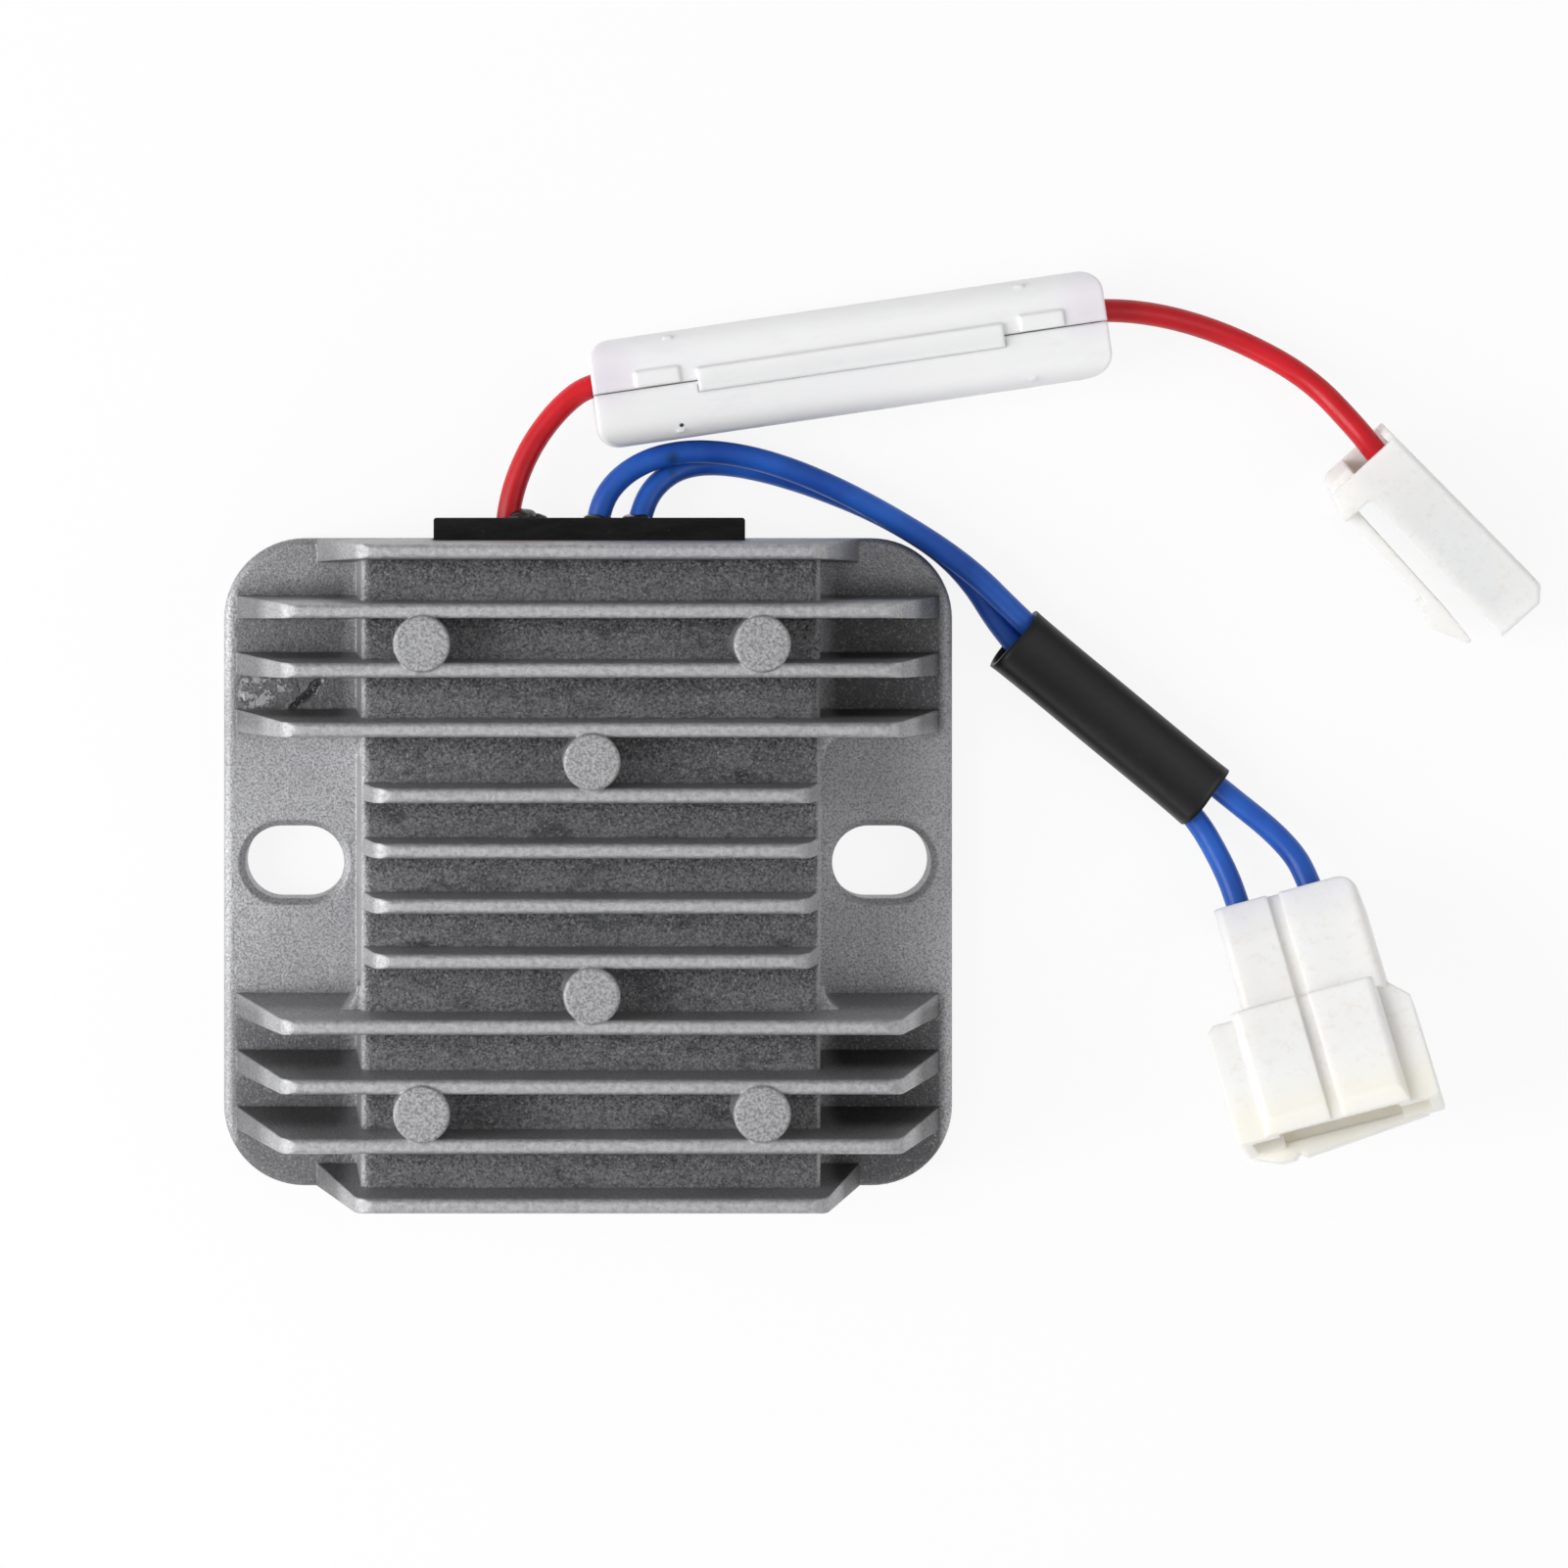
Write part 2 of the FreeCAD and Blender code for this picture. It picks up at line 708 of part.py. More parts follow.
def potting_compound(parts):
    fill = cavity_shape(potting_recess, cavity_top)
    fill = fill.cut([exit_plate_blank()] + list(parts.values()))
    return cut_lead_ways(fill, exit_leads)


# Fuse holder
def holder_half(side):
    """Half shell of the holder, on the side of the seam that the sign says."""
    outer = turned_section(holder_width, holder_depth, holder_section_radius,
                           holder_length, -holder_length / 2)
    outer.translate(Vector(0, 0, holder_mid))
    plan = rectangle(holder_length, holder_width, holder_corner_radius)
    outer = outer.common(plan.extrude(Vector(0, 0, holder_depth)))
    inner_radius = holder_section_radius - holder_wall
    inner_length = holder_length - 2 * holder_end_wall
    inner = turned_section(holder_width - 2 * holder_wall, holder_depth - 2 * holder_wall,
                           inner_radius, inner_length, -inner_length / 2)
    inner.translate(Vector(0, 0, holder_mid))
    shell = outer.cut(inner)
    near = side * holder_seam_gap / 2
    far = side * holder_width
    keep = box_between(Vector(-holder_length, min(near, far), -overshoot),
                       Vector(holder_length, max(near, far), holder_depth + overshoot))
    half = shell.common(keep)
    for end in (-1, 1):
        half = half.fuse(holder_ribs(end, side))
    return half


def holder_ribs(end, side):
    """Short rib on the side wall, which stops the fuse from sliding along."""
    wall_face = holder_width / 2 - holder_wall
    v_values = sorted((side * (wall_face - rib_height), side * (wall_face + holder_wall / 2)))
    u_values = sorted((end * rib_position, end * (rib_position + rib_thickness)))
    return box_between(Vector(u_values[0], v_values[0], holder_wall / 2),
                       Vector(u_values[1], v_values[1], holder_depth - holder_wall / 2))


def hinge_axis():
    """Point of the cover's hinge line in the holder's frame."""
    return Vector(0, -hinge_reach, holder_depth + hinge_strip_height - hinge_nose_radius)


def hinge_rod(radius, length):
    axis = hinge_axis()
    return Part.makeCylinder(radius, length, Vector(-length / 2, axis.y, axis.z), Vector(1, 0, 0))


def fuse_holder_body():
    """Half that carries the fuse and its clips, with the groove that the hinge turns in."""
    half = holder_half(-1)
    half = half.cut(hinge_rod(hinge_nose_radius + hinge_clearance, hinge_length + 2 * hinge_clearance))
    names = ["red_lead_to_fuse", "red_lead_to_connector"]
    half.Placement = holder_frame
    return cut_lead_ways(half, names)


def lead_notch(end):
    """Notch in the cover's end wall, open to the seam and deep enough to swing off the lead."""
    reach = holder_lead_offset + lead_radius + notch_side_clearance
    under = lead_radius + notch_drop_clearance
    over = lead_radius + notch_top_clearance
    u_values = sorted((end * (holder_length / 2 - 2 * holder_end_wall), end * holder_length))
    return box_between(Vector(u_values[0], -overshoot, holder_mid - under),
                       Vector(u_values[1], reach, holder_mid + over))


def fuse_holder_cover():
    """Half that swings open, with the hinge strip along its upper edge."""
    half = holder_half(1)
    strip = box_between(Vector(-hinge_length / 2, hinge_axis().y, holder_depth - hinge_strip_sink),
                        Vector(hinge_length / 2, hinge_strip_width, holder_depth + hinge_strip_height))
    notch = box_between(Vector(-hinge_length, -overshoot, 0),
                        Vector(hinge_length, holder_seam_gap / 2, holder_depth + hinge_clearance / 2))
    half = half.fuse([strip.cut(notch), hinge_rod(hinge_nose_radius, hinge_length)])
    for end in (-1, 1):
        pad = centred_box(pad_length, pad_width, pad_height + pad_sink,
                          Vector(end * pad_position, pad_width / 2 + pad_seam_distance,
                                 holder_depth + (pad_height - pad_sink) / 2))
        half = half.fuse(pad.makeFillet(pad_edge_radius, pad.Edges))
        half = half.cut(lead_notch(end))
    half = half.removeSplitter()
    half.Placement = holder_frame
    return half


def fuse_pieces():
    """Glass tube, two caps and the fuse wire, along u through the middle of the holder."""
    along = Vector(1, 0, 0)
    half = fuse_length / 2
    glass_outer = fuse_cap_radius - fuse_cap_wall - fuse_glass_clearance
    glass_half = half - fuse_cap_wall - fuse_glass_clearance
    glass_end = Vector(-glass_half, 0, holder_mid)
    glass = Part.makeCylinder(glass_outer, 2 * glass_half, glass_end, along)
    glass = glass.cut(Part.makeCylinder(glass_outer - fuse_glass_wall, 2 * glass_half, glass_end, along))
    wire = Part.makeCylinder(fuse_wire_radius, 2 * glass_half, glass_end, along)
    pieces = {"fuse_glass_tube": glass, "fuse_wire": wire}
    for name, end in (("fuse_cap_a", -1), ("fuse_cap_b", 1)):
        start = Vector(end * half, 0, holder_mid)
        inward = Vector(-end, 0, 0)
        cap = Part.makeCylinder(fuse_cap_radius, fuse_cap_length, start, inward)
        rim = [edge for edge in cap.Edges if len(edge.Vertexes) == 1
               and abs(edge.BoundBox.Center.x - start.x) < 1e-6]
        cap = cap.makeFillet(fuse_cap_edge_radius, rim)
        hollow_start = start + inward * fuse_cap_wall
        hollow = Part.makeCylinder(fuse_cap_radius - fuse_cap_wall, fuse_cap_length,
                                   hollow_start, inward)
        pieces[name] = cap.cut(hollow)
    for shape in pieces.values():
        shape.Placement = holder_frame
    return pieces


def fuse_clip(end):
    """Spring clip round a fuse cap, joined by a bent strip to the barrel crimped on the lead."""
    along = Vector(1, 0, 0)
    clip_end = fuse_length / 2 - clip_end_inset
    start = Vector(clip_end - clip_width, 0, holder_mid)
    ring = Part.makeCylinder(clip_outer_radius, clip_width, start, along)
    ring = ring.cut(Part.makeCylinder(clip_inner_radius, clip_width, start, along))
    mouth_half = clip_outer_radius * math.sin(math.radians(clip_opening / 2))
    mouth = box_between(Vector(0, 0, holder_mid - mouth_half),
                        Vector(fuse_length, holder_width, holder_mid + mouth_half))
    ring = ring.cut(mouth)
    back = -clip_inner_radius
    seat = holder_lead_offset - barrel_inner_radius
    thick = clip_thickness
    bend_start = fuse_length / 2 + clip_bend_start
    bend_end = bend_start + clip_bend_length
    bend = [Vector(clip_end - clip_width, back, 0), Vector(bend_start, back, 0),
            Vector(bend_end, seat, 0), Vector(barrel_start + barrel_length, seat, 0),
            Vector(barrel_start + barrel_length, seat - thick, 0),
            Vector(bend_end + clip_bend_shift, seat - thick, 0),
            Vector(bend_start + clip_bend_shift, back - thick, 0),
            Vector(clip_end - clip_width, back - thick, 0)]
    strip = closed_face(bend, [0] * len(bend)).extrude(Vector(0, 0, clip_strip_width))
    strip.translate(Vector(0, 0, holder_mid - clip_strip_width / 2))
    barrel_end = Vector(barrel_start, holder_lead_offset, holder_mid)
    barrel = Part.makeCylinder(barrel_outer_radius, barrel_length, barrel_end, along)
    bore = Part.makeCylinder(barrel_inner_radius, barrel_length, barrel_end, along)
    inside = Part.makeCylinder(clip_inner_radius, clip_width, start, along)
    clip = ring.fuse([strip, barrel]).cut([bore, inside]).removeSplitter()
    if end < 0:
        clip = mirrored(clip, Vector(1, 0, 0))
    clip.Placement = holder_frame.multiply(clip.Placement)
    return clip


# Single connector
def single_outline():
    """Side view of the housing with its latch arm, in the connector's own frame."""
    half = single_width / 2
    inner = half + arm_gap
    outer = inner + arm_thickness
    hook_end = hook_start + hook_length
    body = [Vector(0, half, 0), Vector(0, -outer + arm_shoulder_offset, 0),
            Vector(arm_shoulder_length, -outer, 0), Vector(hook_start, -outer, 0),
            Vector(hook_start, -outer - hook_heel_height, 0),
            Vector(hook_start + hook_peak, -outer - hook_height, 0),
            Vector(hook_end, -inner - arm_taper - hook_tip_high, 0),
            Vector(hook_end, -inner - arm_taper - hook_tip_low, 0),
            Vector(hook_start + hook_peak, -inner - arm_taper, 0),
            Vector(arm_root, -inner, 0), Vector(arm_root, -half, 0),
            Vector(single_length, -half, 0), Vector(single_length, half - single_chamfer, 0),
            Vector(single_length - single_chamfer, half, 0)]
    radii = [0, 1.2, 2.0, 0.2, 0.2, 0.4, 0.2, 0.2, 2.0, arm_root_radius, arm_root_radius, 0, 0.4, 0.4]
    return closed_face(body, radii)


def single_connector_housing():
    half = single_width / 2
    block = single_outline().extrude(Vector(0, 0, single_depth))
    side_gap = (single_depth - arm_depth) / 2
    for low in (0, single_depth - side_gap):
        block = block.cut(box_between(Vector(arm_root, -2 * single_width, low),
                                      Vector(2 * single_length, -half, low + side_gap)))
    long_edges = [edge for edge in block.Edges
                  if edge.Length > single_length / 2 and edge.BoundBox.YMin > half - 1e-3]
    block = block.makeFillet(single_edge_radius, long_edges)
    bore_length = single_length - 2 * single_wall
    rear = box_between(Vector(-overshoot, -half + single_wall, single_wall),
                       Vector(bore_length, half - single_wall, single_depth - single_wall))
    lip = single_wall + single_mouth_lip
    mouth = box_between(Vector(bore_length - overshoot, -half + lip, lip),
                        Vector(single_length + overshoot, half - lip, single_depth - lip))
    set_back = box_between(Vector(-overshoot, -2 * single_width, single_depth - single_set_back_depth),
                           Vector(single_set_back, single_width, single_depth + overshoot))
    block = block.cut([rear, mouth, set_back]).removeSplitter()
    block.Placement = single_frame
    return block


def single_connector_terminal():
    """Receptacle with rolled edges, on one strip with the crimp barrel."""
    along = Vector(1, 0, 0)
    mid = single_depth / 2
    floor = -single_width / 2 + single_wall + terminal_clearance
    width = receptacle_width
    base = box_between(Vector(receptacle_start, floor, mid - width / 2),
                       Vector(receptacle_start + receptacle_length, floor + strip_thickness,
                              mid + width / 2))
    pieces = [base]
    for side in (-1, 1):
        z = mid + side * (width / 2 - receptacle_height / 2)
        roll_start = Vector(receptacle_start, floor + receptacle_height / 2, z)
        roll = Part.makeCylinder(receptacle_height / 2, receptacle_length, roll_start, along)
        roll = roll.cut(Part.makeCylinder(receptacle_height / 2 - strip_thickness,
                                          receptacle_length, roll_start, along))
        inner_z = sorted((mid, z))
        roll = roll.cut(box_between(Vector(0, floor + strip_thickness, inner_z[0]),
                                    Vector(single_length, floor + receptacle_height - strip_thickness,
                                           inner_z[1])))
        pieces.append(roll)
    wire_y = -single_lead_offset
    barrel_low = wire_y - barrel_inner_radius
    before = receptacle_start - receptacle_neck_reach
    after = receptacle_start + receptacle_neck_reach
    neck = [Vector(single_barrel_start, barrel_low, 0), Vector(single_neck_start, barrel_low, 0),
            Vector(before, floor + strip_thickness, 0), Vector(after, floor + strip_thickness, 0),
            Vector(after, floor, 0), Vector(before, floor, 0),
            Vector(single_neck_start, barrel_low - strip_thickness, 0),
            Vector(single_barrel_start, barrel_low - strip_thickness, 0)]
    strip = closed_face(neck, [0] * len(neck)).extrude(Vector(0, 0, clip_strip_width))
    strip.translate(Vector(0, 0, mid - clip_strip_width / 2))
    barrel_end = Vector(single_barrel_start, wire_y, mid)
    barrel = Part.makeCylinder(barrel_outer_radius, single_barrel_length, barrel_end, along)
    bore = Part.makeCylinder(barrel_inner_radius, single_barrel_length, barrel_end, along)
    shape = base.fuse(pieces[1:] + [strip, barrel]).cut(bore).removeSplitter()
    shape.Placement = single_frame
    return shape


# Double connector
def rounded_bar(width, thickness, start, length):
    return turned_section(width, thickness, double_edge_radius, length, start)


def connector_flanges():
    """Side flanges of the head, with their rear corners cut off."""
    half = flange_width / 2
    start = neck_length + flange_set_back
    left, right = flange_left_corner, flange_right_corner
    outline = [Vector(start, -half + left, 0), Vector(start + left, -half, 0),
               Vector(double_length, -half, 0), Vector(double_length, half, 0),
               Vector(start + right, half, 0), Vector(start, half - right, 0)]
    plate = closed_face(outline, [flange_edge_radius] * len(outline))
    plate = plate.extrude(Vector(0, 0, flange_thickness))
    plate.translate(Vector(0, 0, -flange_thickness / 2))
    return plate


def mouth_bevels():
    """Wedges that bevel the head's broad faces at the mating end."""
    high = head_thickness / 2
    start = double_length - mouth_bevel_length
    end = double_length + overshoot
    drop = mouth_bevel_depth * (end - start) / mouth_bevel_length
    outline = [Vector(start, 0, high), Vector(end, 0, high - drop),
               Vector(end, 0, high + overshoot), Vector(start, 0, high + overshoot)]
    wedge = closed_face(outline, [0] * 4).extrude(Vector(0, 2 * head_width, 0))
    wedge.translate(Vector(0, -head_width, 0))
    return [wedge, mirrored(wedge, Vector(0, 0, 1))]


def mouth_tongue():
    """Tongue of the mouth's lower wall, notched near its tip and sloping off to one side."""
    left = -flange_width / 2 + flange_edge_radius
    reach = double_length + tongue_reach
    tip = left + tongue_corner + tongue_tip_width
    outline = [Vector(double_length - tongue_root, left, 0), Vector(double_length, left, 0),
               Vector(reach, left + tongue_corner, 0), Vector(reach, tip, 0),
               Vector(reach - tongue_notch_depth, tip + tongue_notch_width / 2, 0),
               Vector(reach, tip + tongue_notch_width, 0), Vector(double_length, tongue_end, 0),
               Vector(double_length - tongue_root, tongue_end, 0)]
    tongue = closed_face(outline, [0] * len(outline)).extrude(Vector(0, 0, tongue_thickness))
    tongue.translate(Vector(0, 0, tongue_level))
    return tongue


def lobe_grooves():
    """Grooves between the two ways, on both broad faces."""
    grooves = []
    for side in (-1, 1):
        for start, length, thickness in ((-overshoot, neck_length + overshoot, neck_thickness),
                                         (neck_length, head_length + overshoot, head_thickness)):
            grooves.append(centred_box(length, lobe_groove_width, 2 * lobe_groove_depth,
                                       Vector(start + length / 2, 0, side * thickness / 2)))
    return grooves


def connector_neck():
    """Rear part round the two crimps, wider on one side, where its rear corner is round."""
    neck = rounded_bar(neck_width, neck_thickness, 0, neck_length + overshoot)
    far = neck_width / 2
    corner = box_between(Vector(-overshoot, far - neck_corner_radius, -neck_thickness),
                         Vector(neck_corner_radius, far + overshoot, neck_thickness))
    post = Part.makeCylinder(neck_corner_radius, 2 * neck_thickness,
                             Vector(neck_corner_radius, far - neck_corner_radius, -neck_thickness))
    neck = neck.cut(corner.cut(post))
    neck.translate(Vector(0, neck_offset, 0))
    return neck


def double_connector_housing():
    head = rounded_bar(head_width, head_thickness, neck_length, head_length)
    shell = connector_neck().fuse([head, connector_flanges()])
    mouth_start = neck_length + double_floor
    mouth_length = head_length - double_floor + overshoot
    mouth = turned_section(head_width - 2 * double_wall, head_thickness - 2 * double_wall,
                           mouth_corner_radius, mouth_length, mouth_start)
    keyways = turned_section(flange_width - 2 * double_wall, flange_thickness - 2 * double_wall,
                              mouth_corner_radius, mouth_length, mouth_start)
    cutters = [mouth, keyways] + mouth_bevels() + lobe_grooves()
    for side in (-1, 1):
        way = turned_section(2 * (barrel_outer_radius + way_side_clearance),
                             blade_width + 2 * way_side_clearance, way_corner_radius,
                             mouth_start + 2 * overshoot, -overshoot)
        way.translate(Vector(0, side * double_pitch / 2, 0))
        cutters.append(way)
    shell = shell.cut(cutters).fuse(mouth_tongue()).removeSplitter()
    shell.Placement = double_frame
    return shell


def blade_terminal(side):
    """Flat blade in the mouth, joined through a base to the barrel crimped on the lead."""
    along = Vector(1, 0, 0)
    blade_start = neck_length + double_floor - blade_setback
    tip = blade_start + blade_reach
    half = blade_width / 2
    outline = [Vector(blade_start, 0, -half), Vector(tip - blade_tip_chamfer, 0, -half),
               Vector(tip, 0, -half + blade_tip_chamfer), Vector(tip, 0, half - blade_tip_chamfer),
               Vector(tip - blade_tip_chamfer, 0, half), Vector(blade_start, 0, half)]
    blade = closed_face(outline, [0] * 6).extrude(Vector(0, blade_thickness, 0))
    blade.translate(Vector(0, -blade_thickness / 2, 0))
    barrel_end = Vector(blade_barrel_start, 0, 0)
    barrel = Part.makeCylinder(barrel_outer_radius, blade_barrel_length, barrel_end, along)
    bore = Part.makeCylinder(barrel_inner_radius, blade_barrel_length, barrel_end, along)
    foot_end = blade_start + blade_foot_overlap
    strip_face = -barrel_outer_radius + strip_thickness
    neck = box_between(Vector(blade_neck_start, -barrel_outer_radius, -clip_strip_width / 2),
                       Vector(foot_end, strip_face, clip_strip_width / 2))
    foot = box_between(Vector(blade_start - blade_foot_length, -barrel_outer_radius, -half),
                       Vector(foot_end, strip_face, half))
    step = box_between(Vector(blade_start, -barrel_outer_radius, -half),
                       Vector(blade_start + blade_thickness, blade_thickness / 2, half))
    shape = blade.fuse([barrel, neck, foot, step]).cut(bore).removeSplitter()
    shape.translate(Vector(0, side * double_pitch / 2, 0))
    shape.Placement = double_frame.multiply(shape.Placement)
    return shape


def shrink_sleeve():
    outer = turned_section(sleeve_width, sleeve_height, sleeve_section_radius, sleeve_length, 0)
    inner = turned_section(sleeve_width - 2 * sleeve_wall, sleeve_height - 2 * sleeve_wall,
                           sleeve_section_radius - sleeve_wall,
                           sleeve_length + 2 * overshoot, -overshoot)
    sleeve = outer.cut(inner)
    sleeve.Placement = sleeve_frame
    return sleeve


def all_pieces():
    circuit = circuit_parts()
    pieces = {"heatsink_housing": heatsink_housing(),
              "wire_exit_plate": wire_exit_plate(),
              "exit_sealant": exit_sealant(),
              "potting_compound": potting_compound(circuit),
              "fuse_holder_body": fuse_holder_body(),
              "fuse_holder_cover": fuse_holder_cover(),
              "fuse_clip_a": fuse_clip(-1),
              "fuse_clip_b": fuse_clip(1),
              "single_connector_housing": single_connector_housing(),
              "single_connector_terminal": single_connector_terminal(),
              "double_connector_housing": double_connector_housing(),
              "blade_terminal_a": blade_terminal(-1),
              "blade_terminal_b": blade_terminal(1),
              "shrink_sleeve": shrink_sleeve()}
    pieces.update(circuit)
    pieces.update(fuse_pieces())
    pieces.update({name: lead(name) for name in lead_routes})
    return pieces


def main():
    os.makedirs("parts", exist_ok=True)
    for name, shape in all_pieces().items():
        if not shape.isValid():
            print(f"{name}: the solid is not valid")
        shape.exportStep(f"parts/{name}.step")
    first = holder_frame.multVec(hinge_axis())
    print(f"cover hinge at {first.x:.4f} {first.y:.4f} {first.z:.4f}, "
          f"axis at {holder_angle:.2f} degrees in the XY plane")


main()
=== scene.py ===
import bmesh
import bpy
import math
from mathutils import Matrix, Vector, noise


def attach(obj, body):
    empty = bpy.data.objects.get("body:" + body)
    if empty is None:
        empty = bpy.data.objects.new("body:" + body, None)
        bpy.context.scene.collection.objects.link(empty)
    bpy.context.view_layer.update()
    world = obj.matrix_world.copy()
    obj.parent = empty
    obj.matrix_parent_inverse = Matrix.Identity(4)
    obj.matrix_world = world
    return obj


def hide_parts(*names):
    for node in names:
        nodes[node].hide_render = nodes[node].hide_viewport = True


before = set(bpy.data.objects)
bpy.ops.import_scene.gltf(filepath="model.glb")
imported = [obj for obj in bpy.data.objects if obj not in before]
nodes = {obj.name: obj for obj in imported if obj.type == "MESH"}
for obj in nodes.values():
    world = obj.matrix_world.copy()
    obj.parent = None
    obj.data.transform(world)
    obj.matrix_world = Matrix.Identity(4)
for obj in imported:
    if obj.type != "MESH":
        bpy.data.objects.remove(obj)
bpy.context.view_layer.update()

MM = 0.001
LEAD_DIAMETER = 2.3 * MM
EXIT_FACE = 34 * MM
EXIT_HEIGHT = 4 * MM

# Half the length of the plate and the distances of the fins from its middle, in millimetres
PLATE_HALF = 32
FIN_ROWS = (2.6, 7.8, 14.0, 19.6, 25.2, 30.8)


def placed(origin, along, across):
    """Frame of a piece that lies at an angle: its length, its width and up, in the row frame."""
    along = Vector(along).normalized()
    across = Vector(across).normalized()
    up = along.cross(across)
    turned = Matrix((along, across, up)).transposed().to_4x4()
    return Matrix.Translation(Vector(origin) * MM) @ turned


HOLDER = placed((25.37, 49.5, 0.3), (0.98948, 0.14470, 0), (-0.14470, 0.98948, 0))
SLEEVE = placed((42.1, 22.05, 2.85), (0.77051, -0.63742, 0), (0.63742, 0.77051, 0))
DOUBLE = placed((67.67, -4.1, 5.6957), (0.18170, -0.89311, 0.41151), (0.93097, 0.29100, 0.22049))
SINGLE = placed((76.65, 41.4, 1.4027), (0.70277, -0.71141, 0), (0.69587, 0.68742, 0.20791))


def new_object(name, data):
    """Puts data into the scene as an object."""
    made = bpy.data.objects.new(name, data)
    bpy.context.scene.collection.objects.link(made)
    return made


class Wiring:
    """A node tree whose nodes take plain values or the outputs of other nodes."""

    def __init__(self, tree):
        self.tree = tree

    def feed(self, socket, value):
        if isinstance(value, bpy.types.NodeSocket):
            self.tree.links.new(value, socket)
        else:
            socket.default_value = value

    def add(self, kind, settings=None, **inputs):
        """New node with its settings, its inputs fed by name."""
        made = self.tree.nodes.new(kind)
        for setting, value in (settings or {}).items():
            setattr(made, setting, value)
        for socket, value in inputs.items():
            self.feed(made.inputs[socket.replace("_", " ")], value)
        return made

    def add_in_order(self, kind, settings, *values):
        """New node with its settings, its first inputs fed in order."""
        made = self.add(kind, settings)
        for socket, value in zip(made.inputs, values):
            self.feed(socket, value)
        return made


# Finishes

class Finish(Wiring):
    """A node material on Object coordinates, built up from patterns of the real surface."""

    def __init__(self, name, colour, roughness, metallic=0.0, **shader_values):
        self.material = bpy.data.materials.new(name)
        self.material.use_nodes = True
        super().__init__(self.material.node_tree)
        self.shader = self.tree.nodes["Principled BSDF"]
        self.shader.inputs["Base Color"].default_value = (*colour, 1)
        self.shader.inputs["Roughness"].default_value = roughness
        self.shader.inputs["Metallic"].default_value = metallic
        for socket, value in shader_values.items():
            self.shader.inputs[socket.replace("_", " ")].default_value = value
        surface = self.add("ShaderNodeTexCoord").outputs
        self.place = surface["Object"]
        self.facing = surface["Normal"]

    def stretched(self, scale, turn=(0, 0, 0), place=None):
        """Coordinates turned and stretched, for grain that runs one way."""
        made = self.add("ShaderNodeMapping", Vector=place or self.place, Rotation=turn, Scale=scale)
        return made.outputs["Vector"]

    def along(self, matrix):
        """Coordinates of a piece that lies at an angle, in its own frame."""
        back = matrix.inverted()
        moved = self.add("ShaderNodeMapping", Vector=self.place, Location=back.to_translation(),
                         Rotation=back.to_euler("XYZ"))
        return moved.outputs["Vector"]

    def cloud(self, scale, detail, rough=0.5, place=None):
        made = self.add("ShaderNodeTexNoise", Vector=place or self.place, Scale=scale, Detail=detail,
                        Roughness=rough)
        return made.outputs["Fac"]

    def cells(self, scale):
        return self.add("ShaderNodeTexVoronoi", Vector=self.place, Scale=scale).outputs

    def axis(self, name, place=None):
        return self.add("ShaderNodeSeparateXYZ", Vector=place or self.place).outputs[name]

    def span(self, value, low, high, start=0.0, end=1.0):
        """Goes from start to end as the value goes from low to high, and stays there."""
        made = self.add_in_order("ShaderNodeMapRange", {}, value, low, high, start, end)
        return made.outputs["Result"]

    def maths(self, operation, first, second=0.5, clamped=True):
        settings = {"operation": operation, "use_clamp": clamped}
        return self.add_in_order("ShaderNodeMath", settings, first, second).outputs[0]

    def times(self, first, second):
        return self.maths("MULTIPLY", first, second)

    def band(self, value, rise, fall):
        """1 between the ends of a rise and a fall, 0 outside their starts."""
        return self.times(self.span(value, *rise), self.span(value, *fall))

    def near(self, point, reach, place=None):
        """1 at a point, falling to 0 at the reach."""
        apart = self.add_in_order("ShaderNodeVectorMath", {"operation": "DISTANCE"},
                                  place or self.place, point)
        return self.span(apart.outputs["Value"], 0.0, reach, 1.0, 0.0)

    def steps(self, value, stops):
        """A curve through the given places and levels, straight between them."""
        made = self.add("ShaderNodeValToRGB", Fac=value)
        elements = made.color_ramp.elements
        while len(elements) < len(stops):
            elements.new(0.5)
        for element, (place, level) in zip(elements, stops):
            element.position = place
            element.color = (level, level, level, 1)
        return made.outputs["Color"]

    def blend(self, share, first, second):
        """Mix of two colours. Inputs 6 and 7 and output 2 of the node are its colours."""
        made = self.add("ShaderNodeMix", {"data_type": "RGBA"})
        self.feed(made.inputs[0], share)
        for socket, value in ((made.inputs[6], first), (made.inputs[7], second)):
            self.feed(socket, (*value, 1) if isinstance(value, tuple) else value)
        return made.outputs[2]

    def colour(self, value):
        self.feed(self.shader.inputs["Base Color"], value)

    def roughness(self, value):
        self.feed(self.shader.inputs["Roughness"], value)

    def soft_edges(self, radius):
        """Light rolls over the edges as over a moulded or cast radius."""
        edge = self.add("ShaderNodeBevel", {"samples": 6}, Radius=radius)
        self.feed(self.shader.inputs["Normal"], edge.outputs["Normal"])

    def relief(self, height, depth, strength):
        """Bump of that depth in metres, on top of the soft edges and of any relief before it."""
        normal = self.shader.inputs["Normal"]
        made = self.add("ShaderNodeBump", Height=height, Distance=depth, Strength=strength)
        if normal.is_linked:
            self.feed(made.inputs["Normal"], normal.links[0].from_socket)
        self.feed(normal, made.outputs["Normal"])


def channel_shade(finish):
    """1 just above each fin, falling to 0 just under the next one, where the painted shade is darkest."""
    jump = 0.004
    stops = []
    for row in sorted(side * distance for side in (-1, 1) for distance in FIN_ROWS):
        middle = (row + PLATE_HALF) / (2 * PLATE_HALF)
        stops += [(middle - jump, 0.0), (middle + jump, 1.0)]
    return finish.steps(finish.span(finish.axis("Y"), -PLATE_HALF * MM, PLATE_HALF * MM), stops)


